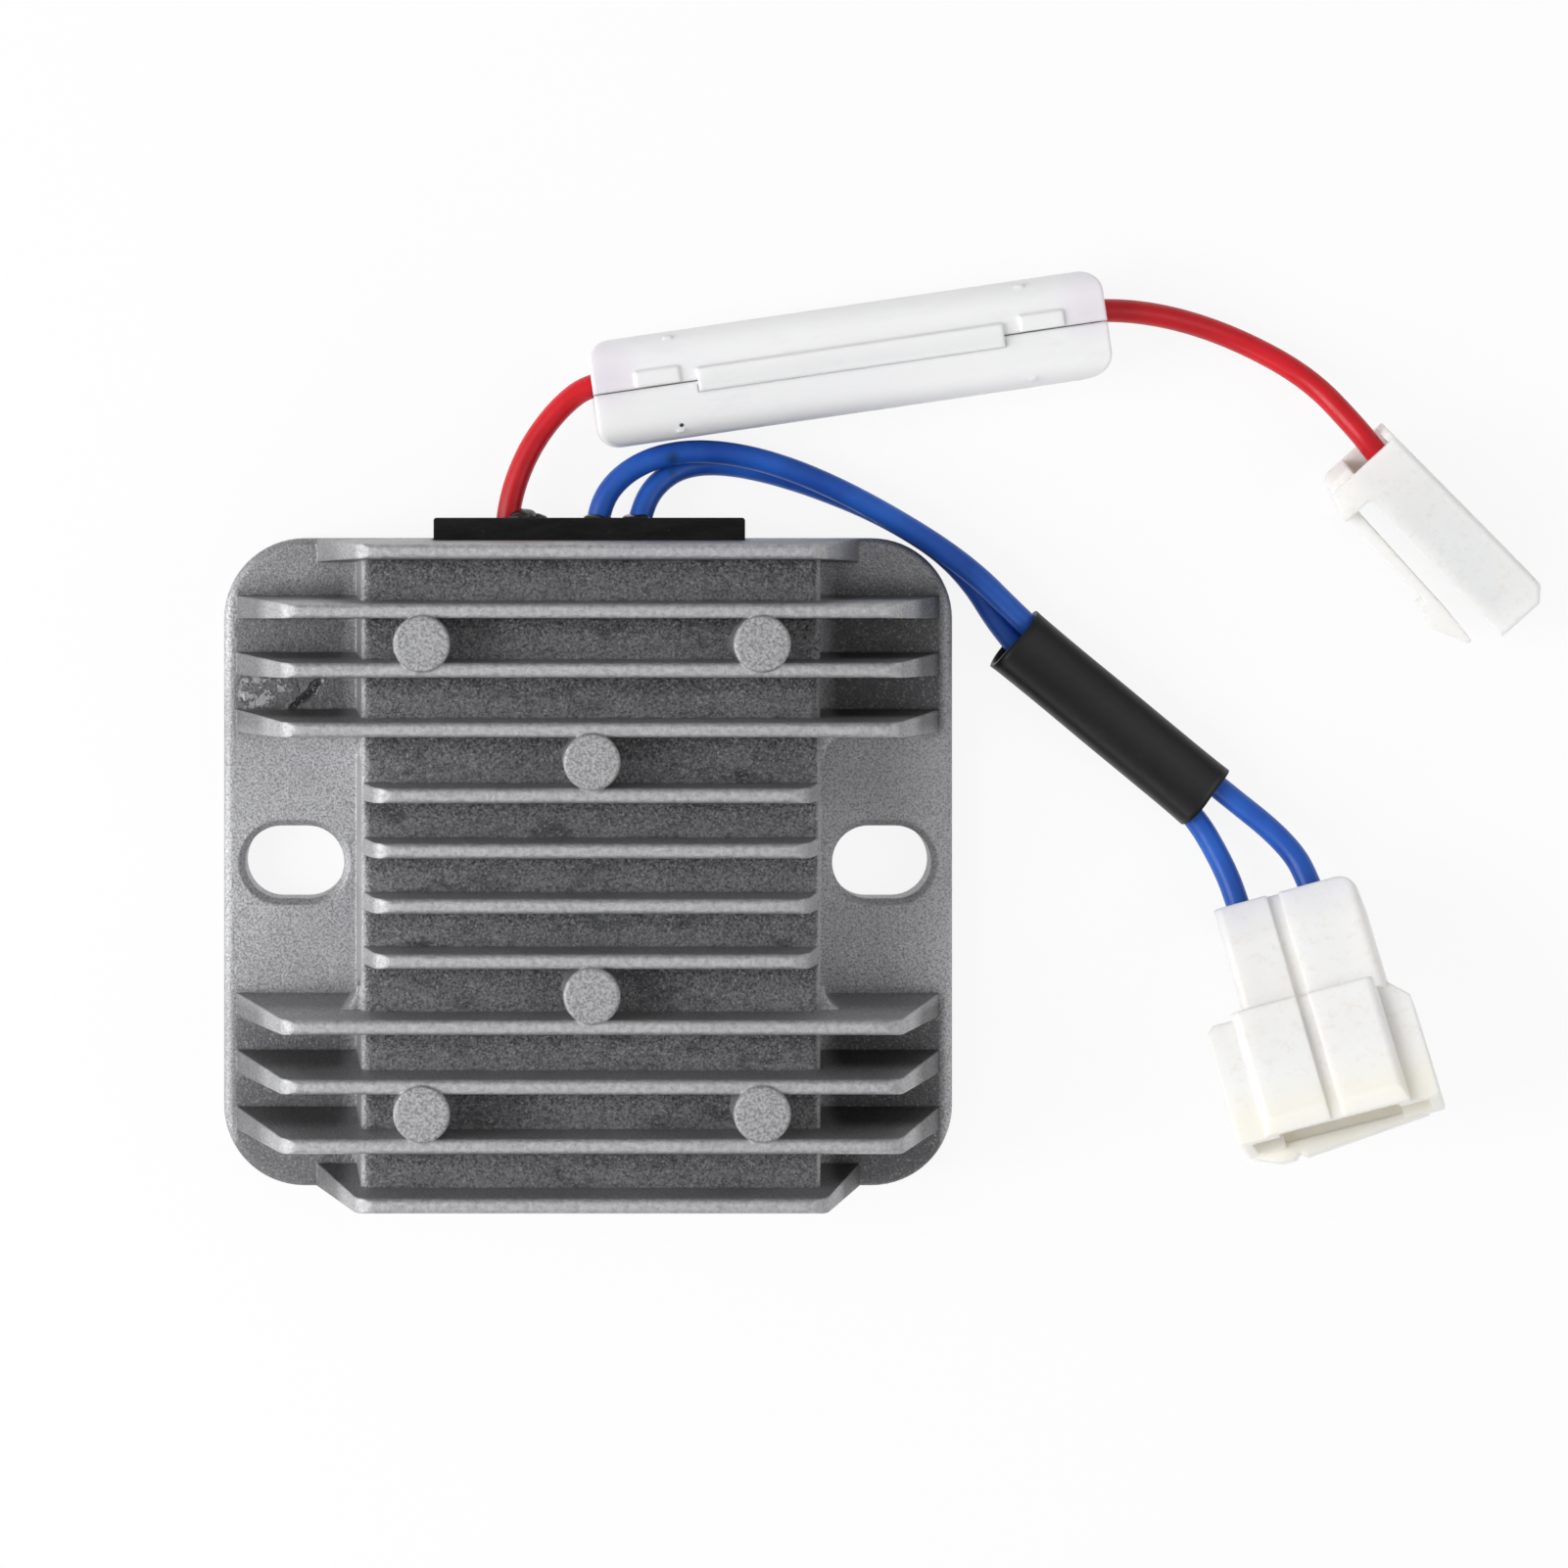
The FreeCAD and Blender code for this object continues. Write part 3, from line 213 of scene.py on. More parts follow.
def flow_scar(finish, plain):
    """Cold flow of the casting in the left pocket: a jagged light patch with a crease beside it, darkened
    with a painted shadow of its step.

    Gives the colour, with the plain one outside the scar, and the height for a relief.
    """
    middle = (-0.0315, 0.0166, 0.0040)
    crease_middle = (-0.0278, 0.0165, 0.0040)
    crease_turn = 0.82
    jags = finish.cloud(520, 6, 0.8, finish.stretched((1, 1, 1), (0, 0, 0.7)))
    patch = finish.span(finish.near(middle, 0.0036), 0.15, 0.45)
    edge = finish.times(patch, finish.span(jags, 0.47, 0.53))
    pale = finish.blend(finish.times(edge, 0.75), plain, (0.50, 0.50, 0.51))

    turned_middle = Matrix.Rotation(crease_turn, 3, "Z") @ Vector(crease_middle)
    aside = finish.axis("X", finish.stretched((1, 1, 1), (0, 0, crease_turn)))
    wander = finish.span(finish.cloud(700, 4), 0.3, 0.7, -0.00035, 0.00035)
    offset = finish.maths("SUBTRACT", aside, turned_middle.x, clamped=False)
    swayed = finish.maths("ADD", offset, wander, clamped=False)
    line = finish.span(finish.maths("ABSOLUTE", swayed), 0.00045, 0.00015)
    crease = finish.times(line, finish.span(finish.near(crease_middle, 0.0026), 0.1, 0.4))
    # Painted shadow: the crease is darkened as by the shadow of the step beside the light patch
    dark = finish.blend(finish.times(crease, 0.9), pale, (0.012, 0.012, 0.013))

    height = finish.maths("SUBTRACT", finish.maths("ADD", edge, 0.4), crease)
    on_plate = finish.span(finish.axis("Z"), 0.0060, 0.0045)
    return finish.blend(on_plate, plain, dark), finish.times(height, on_plate)


def blasted_aluminium():
    """Die casting, blasted with grit: a fine sparkle of painted glints, crests lighter with painted light,
    channels dark with painted shade and sooty in places.
    """
    finish = Finish("blasted_aluminium", (0.45, 0.45, 0.46), 0.5, 0.75)
    grit = finish.cloud(4300, 4, 0.75)
    coarse = finish.cloud(1700, 4, 0.6)
    patches = finish.cloud(75, 4, 0.55)
    height = finish.axis("Z")
    aside = finish.maths("ABSOLUTE", finish.axis("X"))
    along = finish.maths("ABSOLUTE", finish.axis("Y"))
    ground = finish.blend(finish.span(patches, 0.35, 0.65), (0.42, 0.42, 0.432), (0.54, 0.54, 0.555))
    grained = finish.blend(finish.span(grit, 0.36, 0.58), (0.23, 0.23, 0.238), ground)

    # The block's own face in the channels: darker with painted shade, most just under each fin, and sooty
    # in places
    level = finish.span(finish.axis("Z", finish.facing), 0.55, 0.9)
    at_block = finish.band(height, (0.0140, 0.0149), (0.0170, 0.0160))
    on_block = finish.times(at_block, finish.times(level, finish.span(aside, 0.0248, 0.0236)))
    shade = finish.span(channel_shade(finish), 0.0, 1.0, 1.0, 0.5)
    # Painted shade in the channels: a dark grained tone, full just under each fin, half just above it
    channel_shade_tone = finish.blend(finish.span(grit, 0.40, 0.60), (0.008, 0.008, 0.010), (0.135, 0.135, 0.139))
    deep = finish.blend(finish.times(on_block, shade), grained, channel_shade_tone)
    smudges = finish.cloud(230, 6, 0.75, finish.stretched((0.5, 1.2, 1)))
    soot = finish.times(finish.span(smudges, 0.52, 0.70, 0, 0.75), on_block)
    shade_and_soot = finish.blend(soot, deep, (0.03, 0.03, 0.032))

    # The pockets between the long fins, beside the block: painted shade, darker towards the right, less
    # near the upper edge
    pocket = finish.band(aside, (0.0230, 0.0245), (0.0353, 0.0345))
    for inside in (finish.span(along, 0.0120, 0.0140), finish.span(height, 0.0150, 0.0110),
                   finish.span(finish.axis("Y"), 0.0285, 0.0265, 0.35, 1.0)):
        pocket = finish.times(pocket, inside)
    # Painted shade: the pockets darken, more on the right, where the block shades them
    darkening = finish.times(pocket, finish.span(finish.axis("X"), -0.03, 0.03, 0.55, 0.76))
    pocket_shaded = finish.blend(darkening, shade_and_soot, (0.04, 0.04, 0.042))
    scarred, scar_height = flow_scar(finish, pocket_shaded)

    # Crests of the fins and tops of the bosses: lighter; on the crests this is painted light on the tops of
    # the fins
    crest = finish.span(height, 0.0188, 0.0197)
    lit_crest_tone = finish.blend(finish.span(coarse, 0.36, 0.60), (0.36, 0.36, 0.368), (0.53, 0.53, 0.54))
    crested = finish.blend(finish.times(crest, 0.8), scarred, lit_crest_tone)
    boss = finish.span(height, 0.0201, 0.0203)
    boss_grain = finish.cloud(3300, 3, 0.6)
    boss_tone = finish.blend(finish.span(boss_grain, 0.38, 0.60), (0.22, 0.22, 0.226), (0.46, 0.46, 0.47))
    bossed = finish.blend(finish.times(boss, 0.9), crested, boss_tone)

    # Painted glints: a few small cells lightened, for the sparkle of the blasted metal
    glint_cells = finish.add("ShaderNodeSeparateColor", Color=finish.cells(5200)["Color"]).outputs["Red"]
    finish.colour(finish.blend(finish.span(glint_cells, 0.84, 0.96, 0, 0.22), bossed, (0.62, 0.62, 0.64)))
    finish.roughness(finish.span(grit, 0.3, 0.7, 0.56, 0.38))
    finish.soft_edges(0.00035)
    finish.relief(coarse, 0.00012, 0.5)
    finish.relief(grit, 0.00010, 0.9)
    finish.relief(patches, 0.0003, 0.2)
    finish.relief(scar_height, 0.0005, 0.8)
    return finish.material


def plate_black():
    """Black fibre-filled moulding of the exit plate."""
    finish = Finish("plate_black", (0.008, 0.008, 0.009), 0.5, Specular_IOR_Level=0.22)
    fibres = finish.cloud(900, 4, 0.7, finish.stretched((0.25, 1, 1)))
    dust = finish.cloud(1700, 3, 0.6)
    dark = finish.blend(finish.span(fibres, 0.4, 0.7), (0.004, 0.004, 0.005), (0.013, 0.013, 0.014))
    finish.colour(finish.blend(finish.span(dust, 0.68, 0.8, 0, 0.5), dark, (0.08, 0.08, 0.08)))
    finish.roughness(finish.span(fibres, 0.3, 0.7, 0.66, 0.44))
    finish.soft_edges(0.0003)
    finish.relief(fibres, 0.00008, 0.5)
    return finish.material


def sealant_gloss():
    """Black adhesive, glossy, with a brown cast where it is thin."""
    finish = Finish("sealant_gloss", (0.01, 0.009, 0.008), 0.12, Coat_Weight=0.4)
    thin = finish.cloud(700, 4)
    finish.colour(finish.blend(finish.span(thin, 0.52, 0.68), (0.006, 0.006, 0.006), (0.050, 0.022, 0.008)))
    finish.relief(thin, 0.0002, 0.4)
    return finish.material


def potting_resin():
    """Black casting resin with a slightly wavy, glossy face."""
    finish = Finish("potting_resin", (0.014, 0.014, 0.015), 0.22)
    waves = finish.cloud(95, 3)
    specks = finish.span(finish.cells(900)["Distance"], 0.0, 0.12, 0.6, 0)
    finish.colour(finish.blend(specks, (0.012, 0.012, 0.013), (0.05, 0.05, 0.05)))
    finish.roughness(finish.span(waves, 0.3, 0.7, 0.16, 0.34))
    finish.relief(waves, 0.0006, 0.35)
    return finish.material


def insulation(name, deep, bright, scuff):
    """Extruded lead insulation: soft gloss, faint die lines and a few scuffs."""
    finish = Finish(name, bright, 0.34, Specular_IOR_Level=0.35)
    drift = finish.cloud(140, 4)
    scuffs = finish.cloud(1100, 5, 0.7)
    body = finish.blend(finish.span(drift, 0.3, 0.7), deep, bright)
    finish.colour(finish.blend(finish.span(scuffs, 0.68, 0.8, 0, 0.35), body, scuff))
    finish.roughness(finish.span(scuffs, 0.35, 0.75, 0.30, 0.48))
    finish.relief(finish.cloud(420, 3), 0.00005, 0.35)
    return finish


def red_insulation():
    finish = insulation("red_insulation", (0.50, 0.006, 0.013), (0.68, 0.010, 0.020), (0.78, 0.22, 0.22))
    return finish.material


def blue_insulation():
    """Blue, darker at a spot on both leads where they bend side by side."""
    finish = insulation("blue_insulation", (0.010, 0.065, 0.36), (0.022, 0.130, 0.58), (0.16, 0.30, 0.68))
    plain = finish.shader.inputs["Base Color"].links[0].from_socket
    first = finish.near((0.00828, 0.03986, 0.0052), 0.0009)
    second = finish.near((0.00845, 0.03850, 0.0042), 0.0008)
    darkening = finish.times(finish.maths("MAXIMUM", first, second), 0.8)
    finish.colour(finish.blend(darkening, plain, (0.004, 0.030, 0.012)))
    return finish.material


def milky_plastic():
    """Translucent polypropylene of the fuse holder, tinted lilac where the red leads shine through."""
    finish = Finish("milky_plastic", (0.94, 0.94, 0.95), 0.38, Subsurface_Weight=0.5,
                    Subsurface_Scale=0.0009, Subsurface_Radius=(1.0, 0.95, 0.97))
    place = finish.along(HOLDER)
    flow = finish.cloud(110, 4, 0.5, finish.stretched((0.35, 1, 1), place=place))
    streaks = finish.cloud(420, 5, 0.7, finish.stretched((0.3, 1, 1), place=place))
    white = finish.blend(finish.span(flow, 0.3, 0.7), (0.90, 0.90, 0.925), (0.96, 0.96, 0.965))
    veined = finish.blend(finish.span(streaks, 0.56, 0.72, 0, 0.35), white, (0.80, 0.80, 0.84))
    ends = [finish.near((end, 0.0015, 0.0075), 0.0042, place) for end in (-0.0238, 0.0238)]
    glow = finish.times(finish.maths("MAXIMUM", *ends), 0.6)
    tinted = finish.blend(glow, veined, (0.76, 0.62, 0.76))
    speck = finish.span(finish.near((0.00897, 0.04298, 0.00897), 0.0004), 0.3, 0.6)
    finish.colour(finish.blend(speck, tinted, (0.03, 0.03, 0.03)))
    finish.roughness(finish.span(flow, 0.3, 0.7, 0.44, 0.32))
    finish.soft_edges(0.0005)
    finish.relief(flow, 0.0003, 0.35)
    return finish.material


def connector_nylon():
    """Natural nylon, cream white, with faint beige flow marks and a cool cast where the blues enter."""
    finish = Finish("connector_nylon", (0.90, 0.885, 0.85), 0.40, Subsurface_Weight=0.75,
                    Subsurface_Scale=0.0022, Subsurface_Radius=(1.0, 0.93, 0.85))
    broad = finish.cloud(120, 3)
    veins = finish.cloud(1000, 6, 0.75)
    cream = finish.blend(finish.span(broad, 0.35, 0.65), (0.91, 0.89, 0.855), (0.95, 0.935, 0.91))
    veined = finish.blend(finish.span(veins, 0.53, 0.66, 0, 0.5), cream, (0.82, 0.76, 0.69))
    length = finish.axis("X", finish.along(DOUBLE))
    in_double = finish.span(finish.axis("Y"), 0.010, 0.005)
    mouth = finish.times(finish.span(length, 0.0170, 0.0205, 0, 0.7), in_double)
    warmed = finish.blend(mouth, veined, (0.92, 0.87, 0.76))
    neck = finish.times(finish.span(length, 0.0045, 0.0, 0, 0.6), in_double)
    finish.colour(finish.blend(neck, warmed, (0.72, 0.73, 0.80)))
    finish.roughness(finish.span(broad, 0.3, 0.7, 0.46, 0.34))
    finish.soft_edges(0.0003)
    finish.relief(finish.cloud(420, 3), 0.00005, 0.2)
    return finish.material


def sleeve_black():
    """Matt black shrink tubing, with a painted sheen in a band along it."""
    finish = Finish("sleeve_black", (0.010, 0.010, 0.011), 0.46, Specular_IOR_Level=0.35)
    skin = finish.cloud(1300, 3)
    dust = finish.cloud(500, 6, 0.8)
    across = finish.axis("Y", finish.along(SLEEVE))
    # Painted sheen: a lighter band along the sleeve, a little off its middle, for its soft highlight
    painted_sheen = finish.band(across, (-0.0012, 0.0006), (0.0026, 0.0008))
    black = finish.blend(painted_sheen, (0.0055, 0.0055, 0.0065), (0.017, 0.017, 0.019))
    finish.colour(finish.blend(finish.span(dust, 0.6, 0.75, 0, 0.3), black, (0.035, 0.035, 0.037)))
    finish.roughness(finish.span(dust, 0.3, 0.7, 0.36, 0.50))
    finish.relief(skin, 0.00005, 0.4)
    return finish.material


def rolled_metal(name, colour, tint, roughness):
    """Plated strip: fine rolling lines and a slight tarnish."""
    finish = Finish(name, colour, roughness, 1.0)
    lines = finish.cloud(1500, 3, 0.6, finish.stretched((0.1, 1, 1)))
    tarnish = finish.cloud(300, 5)
    finish.colour(finish.blend(finish.span(tarnish, 0.45, 0.7), colour, tint))
    finish.roughness(finish.span(lines, 0.3, 0.7, roughness - 0.07, roughness + 0.09))
    finish.relief(lines, 0.00003, 0.4)
    return finish.material


def clear_glass():
    """Thin glass tube of the fuse, with a faint draw line."""
    finish = Finish("clear_glass", (0.95, 0.97, 0.96), 0.03, Transmission_Weight=1.0, IOR=1.5)
    draw = finish.cloud(240, 2, 0.5, finish.stretched((0.05, 1, 1)))
    finish.roughness(finish.span(draw, 0.3, 0.7, 0.02, 0.06))
    finish.relief(draw, 0.00004, 0.2)
    return finish.material


def board_green():
    """Circuit board with its solder resist and the weave under it."""
    finish = Finish("board_green", (0.02, 0.14, 0.05), 0.35)
    weave = finish.cells(1500)["Distance"]
    tracks = finish.cloud(170, 1)
    green = finish.blend(finish.span(weave, 0.2, 0.5), (0.016, 0.12, 0.045), (0.028, 0.17, 0.06))
    finish.colour(finish.blend(finish.span(tracks, 0.55, 0.57, 0, 0.6), green, (0.05, 0.27, 0.10)))
    finish.relief(tracks, 0.0001, 0.3)
    return finish.material


def moulded(name, dark, light, roughness):
    """Moulded or dipped body of a circuit part."""
    finish = Finish(name, light, roughness)
    skin = finish.cloud(1400, 3)
    finish.colour(finish.blend(finish.span(skin, 0.35, 0.65), dark, light))
    finish.roughness(finish.span(skin, 0.3, 0.7, roughness - 0.06, roughness + 0.08))
    finish.relief(skin, 0.00006, 0.4)
    return finish.material


ALUMINIUM = blasted_aluminium()
RED = red_insulation()
BLUE = blue_insulation()
MILKY = milky_plastic()
NYLON = connector_nylon()
SLEEVE_BLACK = sleeve_black()
SEALANT = sealant_gloss()
TINNED = rolled_metal("tinned_brass", (0.74, 0.70, 0.60), (0.60, 0.52, 0.36), 0.30)
NICKEL = rolled_metal("nickel_plate", (0.72, 0.71, 0.69), (0.60, 0.59, 0.57), 0.22)
COPPER = rolled_metal("bare_copper", (0.80, 0.42, 0.26), (0.60, 0.28, 0.16), 0.35)

NODE_FINISHES = (
    (ALUMINIUM, ["heatsink_housing"]),
    (plate_black(), ["wire_exit_plate"]),
    (potting_resin(), ["potting_compound"]),
    (board_green(), ["circuit_board"]),
    (moulded("device_epoxy", (0.012, 0.012, 0.013), (0.03, 0.03, 0.032), 0.45),
     ["thyristor_a", "thyristor_b", "rectifier_diode_a", "rectifier_diode_b"]),
    (moulded("resistor_coat", (0.50, 0.38, 0.24), (0.62, 0.50, 0.34), 0.40), ["resistor_a", "resistor_b"]),
    (moulded("diode_glass", (0.34, 0.10, 0.03), (0.50, 0.17, 0.05), 0.20), ["zener_diode"]),
    (moulded("capacitor_dip", (0.36, 0.08, 0.03), (0.48, 0.12, 0.05), 0.30), ["capacitor"]),
    (MILKY, ["fuse_holder_body", "fuse_holder_cover"]),
    (TINNED, ["fuse_clip_a", "fuse_clip_b", "single_connector_terminal", "blade_terminal_a",
              "blade_terminal_b"]),
    (clear_glass(), ["fuse_glass_tube"]),
    (NICKEL, ["fuse_wire", "fuse_cap_a", "fuse_cap_b"]),
    (NYLON, ["single_connector_housing", "double_connector_housing"]),
)


def dress(piece, material):
    piece.data.materials.clear()
    piece.data.materials.append(material)


for node_finish, node_names in NODE_FINISHES:
    for node_name in node_names:
        dress(nodes[node_name], node_finish)


# Leads: the control points are the route points of the CAD source, in metres

ROUTES = {
    "red_lead_to_fuse": [
        (-0.0081, 0.0236, 0.0033), (-0.0081, 0.0290, 0.0040), (-0.0080, 0.0350, 0.0040),
        (-0.0061, 0.0405, 0.0041), (-0.0029, 0.0449, 0.0045), (0.0005, 0.0474, 0.0048),
        (0.0051, 0.0480, 0.0048)],
    "red_lead_to_connector": [
        (0.0452, 0.0539, 0.0048), (0.0498, 0.0546, 0.0048), (0.0569, 0.0541, 0.0034),
        (0.0643, 0.0519, 0.0018), (0.0714, 0.0479, 0.0026), (0.0756, 0.0426, 0.00556),
        (0.0773, 0.0403, 0.00563), (0.0792, 0.0384, 0.00563)],
    "blue_lead_outer": [
        (0.0008, 0.0238, 0.0033), (0.0008, 0.0292, 0.0040), (0.0009, 0.0349, 0.0040),
        (0.0032, 0.0383, 0.0041), (0.0075, 0.0404, 0.0042), (0.0134, 0.0406, 0.0041),
        (0.0204, 0.0388, 0.00385), (0.0284, 0.0350, 0.00375), (0.0372, 0.0295, 0.0039),
        (0.0429, 0.0238, 0.0033), (0.0507, 0.0169, 0.0024), (0.0620, 0.0076, 0.0029),
        (0.0690, 0.0019, 0.0046), (0.0709, -0.0023, 0.00617), (0.0717, -0.0061, 0.0079)],
    "blue_lead_inner": [
        (0.0046, 0.0246, 0.0033), (0.0046, 0.0298, 0.0040), (0.0049, 0.0336, 0.0040),
        (0.0063, 0.0371, 0.0034), (0.0096, 0.0393, 0.0022), (0.0146, 0.0394, 0.0013),
        (0.0216, 0.0376, 0.0012), (0.0299, 0.0342, 0.0012), (0.0372, 0.0294, 0.0012),
        (0.0420, 0.0214, 0.0018), (0.0509, 0.0133, 0.0018), (0.0597, 0.0053, 0.0023),
        (0.0628, -0.0004, 0.0037), (0.0641, -0.0044, 0.00456), (0.0649, -0.0082, 0.00629)],
}


def lead(name, material):
    """Insulated lead: a smooth curve through its route."""
    line = bpy.data.curves.new(name + "_line", "CURVE")
    line.dimensions = "3D"
    spline = line.splines.new("NURBS")
    spline.points.add(len(ROUTES[name]) - 1)
    for point, place in zip(spline.points, ROUTES[name]):
        point.co = (*place, 1)
    spline.order_u = 3
    spline.use_endpoint_u = True
    line.resolution_u = 16
    line.bevel_depth = LEAD_DIAMETER / 2
    line.bevel_resolution = 6
    line.use_fill_caps = True
    line.materials.append(material)
    piece = new_object(name + "_insulation", line)
    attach(piece, "regulator")
    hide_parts(name)


# Pieces made here

def finished(name, mesh, material, slot, *stands_for):
    """Puts a finished mesh into the scene, on the regulator, and hides the parts it stands for."""
    piece = new_object(name, mesh)
    dress(piece, material)
    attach(piece, "regulator")
    if stands_for:
        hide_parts(*stands_for)
    return piece


def join_rings(mesh, first, second):
    """Closes the gap between two rings of points with a strip of faces."""
    for step in range(len(first)):
        after = (step + 1) % len(first)
        mesh.faces.new((first[step], first[after], second[after], second[step]))


def smooth_skin(mesh, name):
    """Makes a smooth mesh of the points and faces, which are then let go."""
    bmesh.ops.recalc_face_normals(mesh, faces=mesh.faces)
    shape = bpy.data.meshes.new(name)
    mesh.to_mesh(shape)
    mesh.free()
    shape.shade_smooth()
    return shape


def sleeve_ring(share, width, height, wall, count):
    """Points of one ring of the shrink sleeve: an oval, pinched a little between the leads."""
    ring = []
    power = 2 / 2.7
    for step in range(count):
        turn = 2 * math.pi * step / count
        across = math.cos(turn)
        up = math.sin(turn)
        y = math.copysign(abs(across) ** power, across) * (width / 2 - wall)
        z = math.copysign(abs(up) ** power, up) * (height / 2 - wall)
        sway = noise.noise(Vector((share * 5, across * 1.2, up * 1.2))) * 0.18
        ring.append(Vector((0, y * (1 + 0.02 * sway), z * (1 - 0.10 * sway * abs(up)))))
    return ring


def shrink_sleeve():
    """Sleeve shrunk over the blue leads, open at both ends."""
    rings, count = 36, 56
    length, width, height, thickness = 24.6, 7.15, 5.5, 0.45
    mesh = bmesh.new()
    layers = []
    for wall in (0.0, thickness):
        for step in range(rings + 1):
            share = step / rings
            pull = 0.10 * math.sin(math.pi * share) + 0.05 * math.sin(7 * share + 1)
            flare = 0.12 * (math.exp(-share * 14) + math.exp(-(1 - share) * 14)) - 0.12
            slant = 0.35 * (share * 2 - 1)
            layer = []
            for point in sleeve_ring(share, width + flare - pull, height + 2 * flare - pull, wall, count):
                along = 0.05 + share * (length - 0.1) - slant * 0.25 * math.sin(point.y)
                layer.append(mesh.verts.new(SLEEVE @ (Vector((along, point.y, point.z)) * MM)))
            layers.append(layer)
    outer, inner = layers[:rings + 1], layers[rings + 1:]
    for wall in (outer, inner):
        for first, second in zip(wall, wall[1:]):
            join_rings(mesh, first, second)
    for end in (0, -1):
        join_rings(mesh, outer[end], inner[end])
    shape = smooth_skin(mesh, "shrink_sleeve_skin")
    return finished("shrink_sleeve_skin", shape, SLEEVE_BLACK, "sleeve_black", "shrink_sleeve")


def sealant_bead(mesh, x, radius, height):
    """One uneven blob of adhesive on the exit plate's outer face."""
    rings, count = 10, 40
    layers = []
    for ring in range(rings):
        climb = ring / rings * math.pi / 2
        layer = []
        for step in range(count):
            turn = 2 * math.pi * step / count
            way = Vector((math.cos(turn), 0, math.sin(turn)))
            lump = noise.noise(way * (1.3 + 0.4 * ring / rings) + Vector((x, 0, 0)))
            out = way * radius * math.cos(climb) * (1 + 0.20 * lump)
            rise = height * math.sin(climb) * (1 + 0.35 * noise.noise(out * 0.9 + Vector((x, 3, 0))))
            layer.append(mesh.verts.new((Vector((x, -0.05 + rise, 0)) + out) * MM
                                        + Vector((0, EXIT_FACE, EXIT_HEIGHT))))
        layers.append(layer)
    mesh.faces.new(layers[0])
    for lower, upper in zip(layers, layers[1:]):
        join_rings(mesh, lower, upper)
    mesh.faces.new(layers[-1])


def exit_sealant():
    """Beads of adhesive where the leads leave: a thick one at the red lead, thin ones at the blues."""
    mesh = bmesh.new()
    for x, radius, height in ((-6.7, 1.75, 1.0), (-4.9, 0.8, 0.5), (0.8, 1.45, 0.5), (4.9, 1.45, 0.5)):
        sealant_bead(mesh, x, radius, height)
    shape = smooth_skin(mesh, "exit_sealant_beads")
    finished("exit_sealant_beads", shape, SEALANT, "sealant", "exit_sealant")


class Pattern(Wiring):
    """A Geometry Nodes tree with named inputs, run once and made plain."""

    def __init__(self, name):
        super().__init__(bpy.data.node_groups.new(name, "GeometryNodeTree"))
        self.tree.interface.new_socket("Geometry", in_out="INPUT", socket_type="NodeSocketGeometry")
        self.tree.interface.new_socket("Geometry", in_out="OUTPUT", socket_type="NodeSocketGeometry")
        self.source = self.tree.nodes.new("NodeGroupInput")
        self.result = self.tree.nodes.new("NodeGroupOutput")
        self.values = {}

    def given(self, name, kind, value):
        """Named input of the pattern and the value it gets."""
        socket = self.tree.interface.new_socket(name, in_out="INPUT", socket_type="NodeSocket" + kind)
        self.values[socket.identifier] = value
        return self.source.outputs[name]

    def vector(self, operation, *values, scale=None):
        made = self.add_in_order("ShaderNodeVectorMath", {"operation": operation}, *values)
        if scale is not None:
            self.feed(made.inputs["Scale"], scale)
        return made.outputs["Vector"]

    def number(self, operation, *values):
        return self.add_in_order("ShaderNodeMath", {"operation": operation}, *values).outputs[0]

    def end(self, geometry, material):
        """Closes the tree: real geometry, in its material."""
        whole = self.add("GeometryNodeRealizeInstances", Geometry=geometry)
        coated = self.add("GeometryNodeSetMaterial", Geometry=whole.outputs["Geometry"],
                          Material=self.given("Material", "Material", material))
        self.feed(self.result.inputs[0], coated.outputs["Geometry"])

    def made_plain(self, base_mesh, name):
        """Runs the pattern on a base mesh and returns the result as an ordinary mesh."""
        base = new_object(name + "_base", base_mesh)
        modifier = base.modifiers.new(name, "NODES")
        modifier.node_group = self.tree
        for identifier, value in self.values.items():
            modifier[identifier] = value
        depsgraph = bpy.context.evaluated_depsgraph_get()
        plain = bpy.data.meshes.new_from_object(base.evaluated_get(depsgraph))
        base.modifiers.clear()
        bpy.data.objects.remove(base)
        plain.name = name
        return plain


def patch_on_housing(name, across, along, count, steepest):
    """Small sheet that lies on the block as seen from above, without its steep parts."""
    housing = nodes["heatsink_housing"]
    above, lowest = 0.03, 0.012
    places = []
    for row in range(count + 1):
        for column in range(count + 1):
            x = across[0] + (across[1] - across[0]) * column / count
            y = along[0] + (along[1] - along[0]) * row / count
            hit, place = housing.ray_cast(Vector((x, y, above)), Vector((0, 0, -1)))[:2]
            places.append(place if hit else Vector((x, y, 0)))
    faces = []
    for row in range(count):
        for column in range(count):
            first = row * (count + 1) + column
            corners = (first, first + 1, first + count + 2, first + count + 1)
            heights = [places[corner].z for corner in corners]
            if max(heights) - min(heights) < steepest and min(heights) > lowest:
                faces.append(corners)
    patch = bpy.data.meshes.new(name)
    patch.from_pydata(places, [], faces)
    return patch


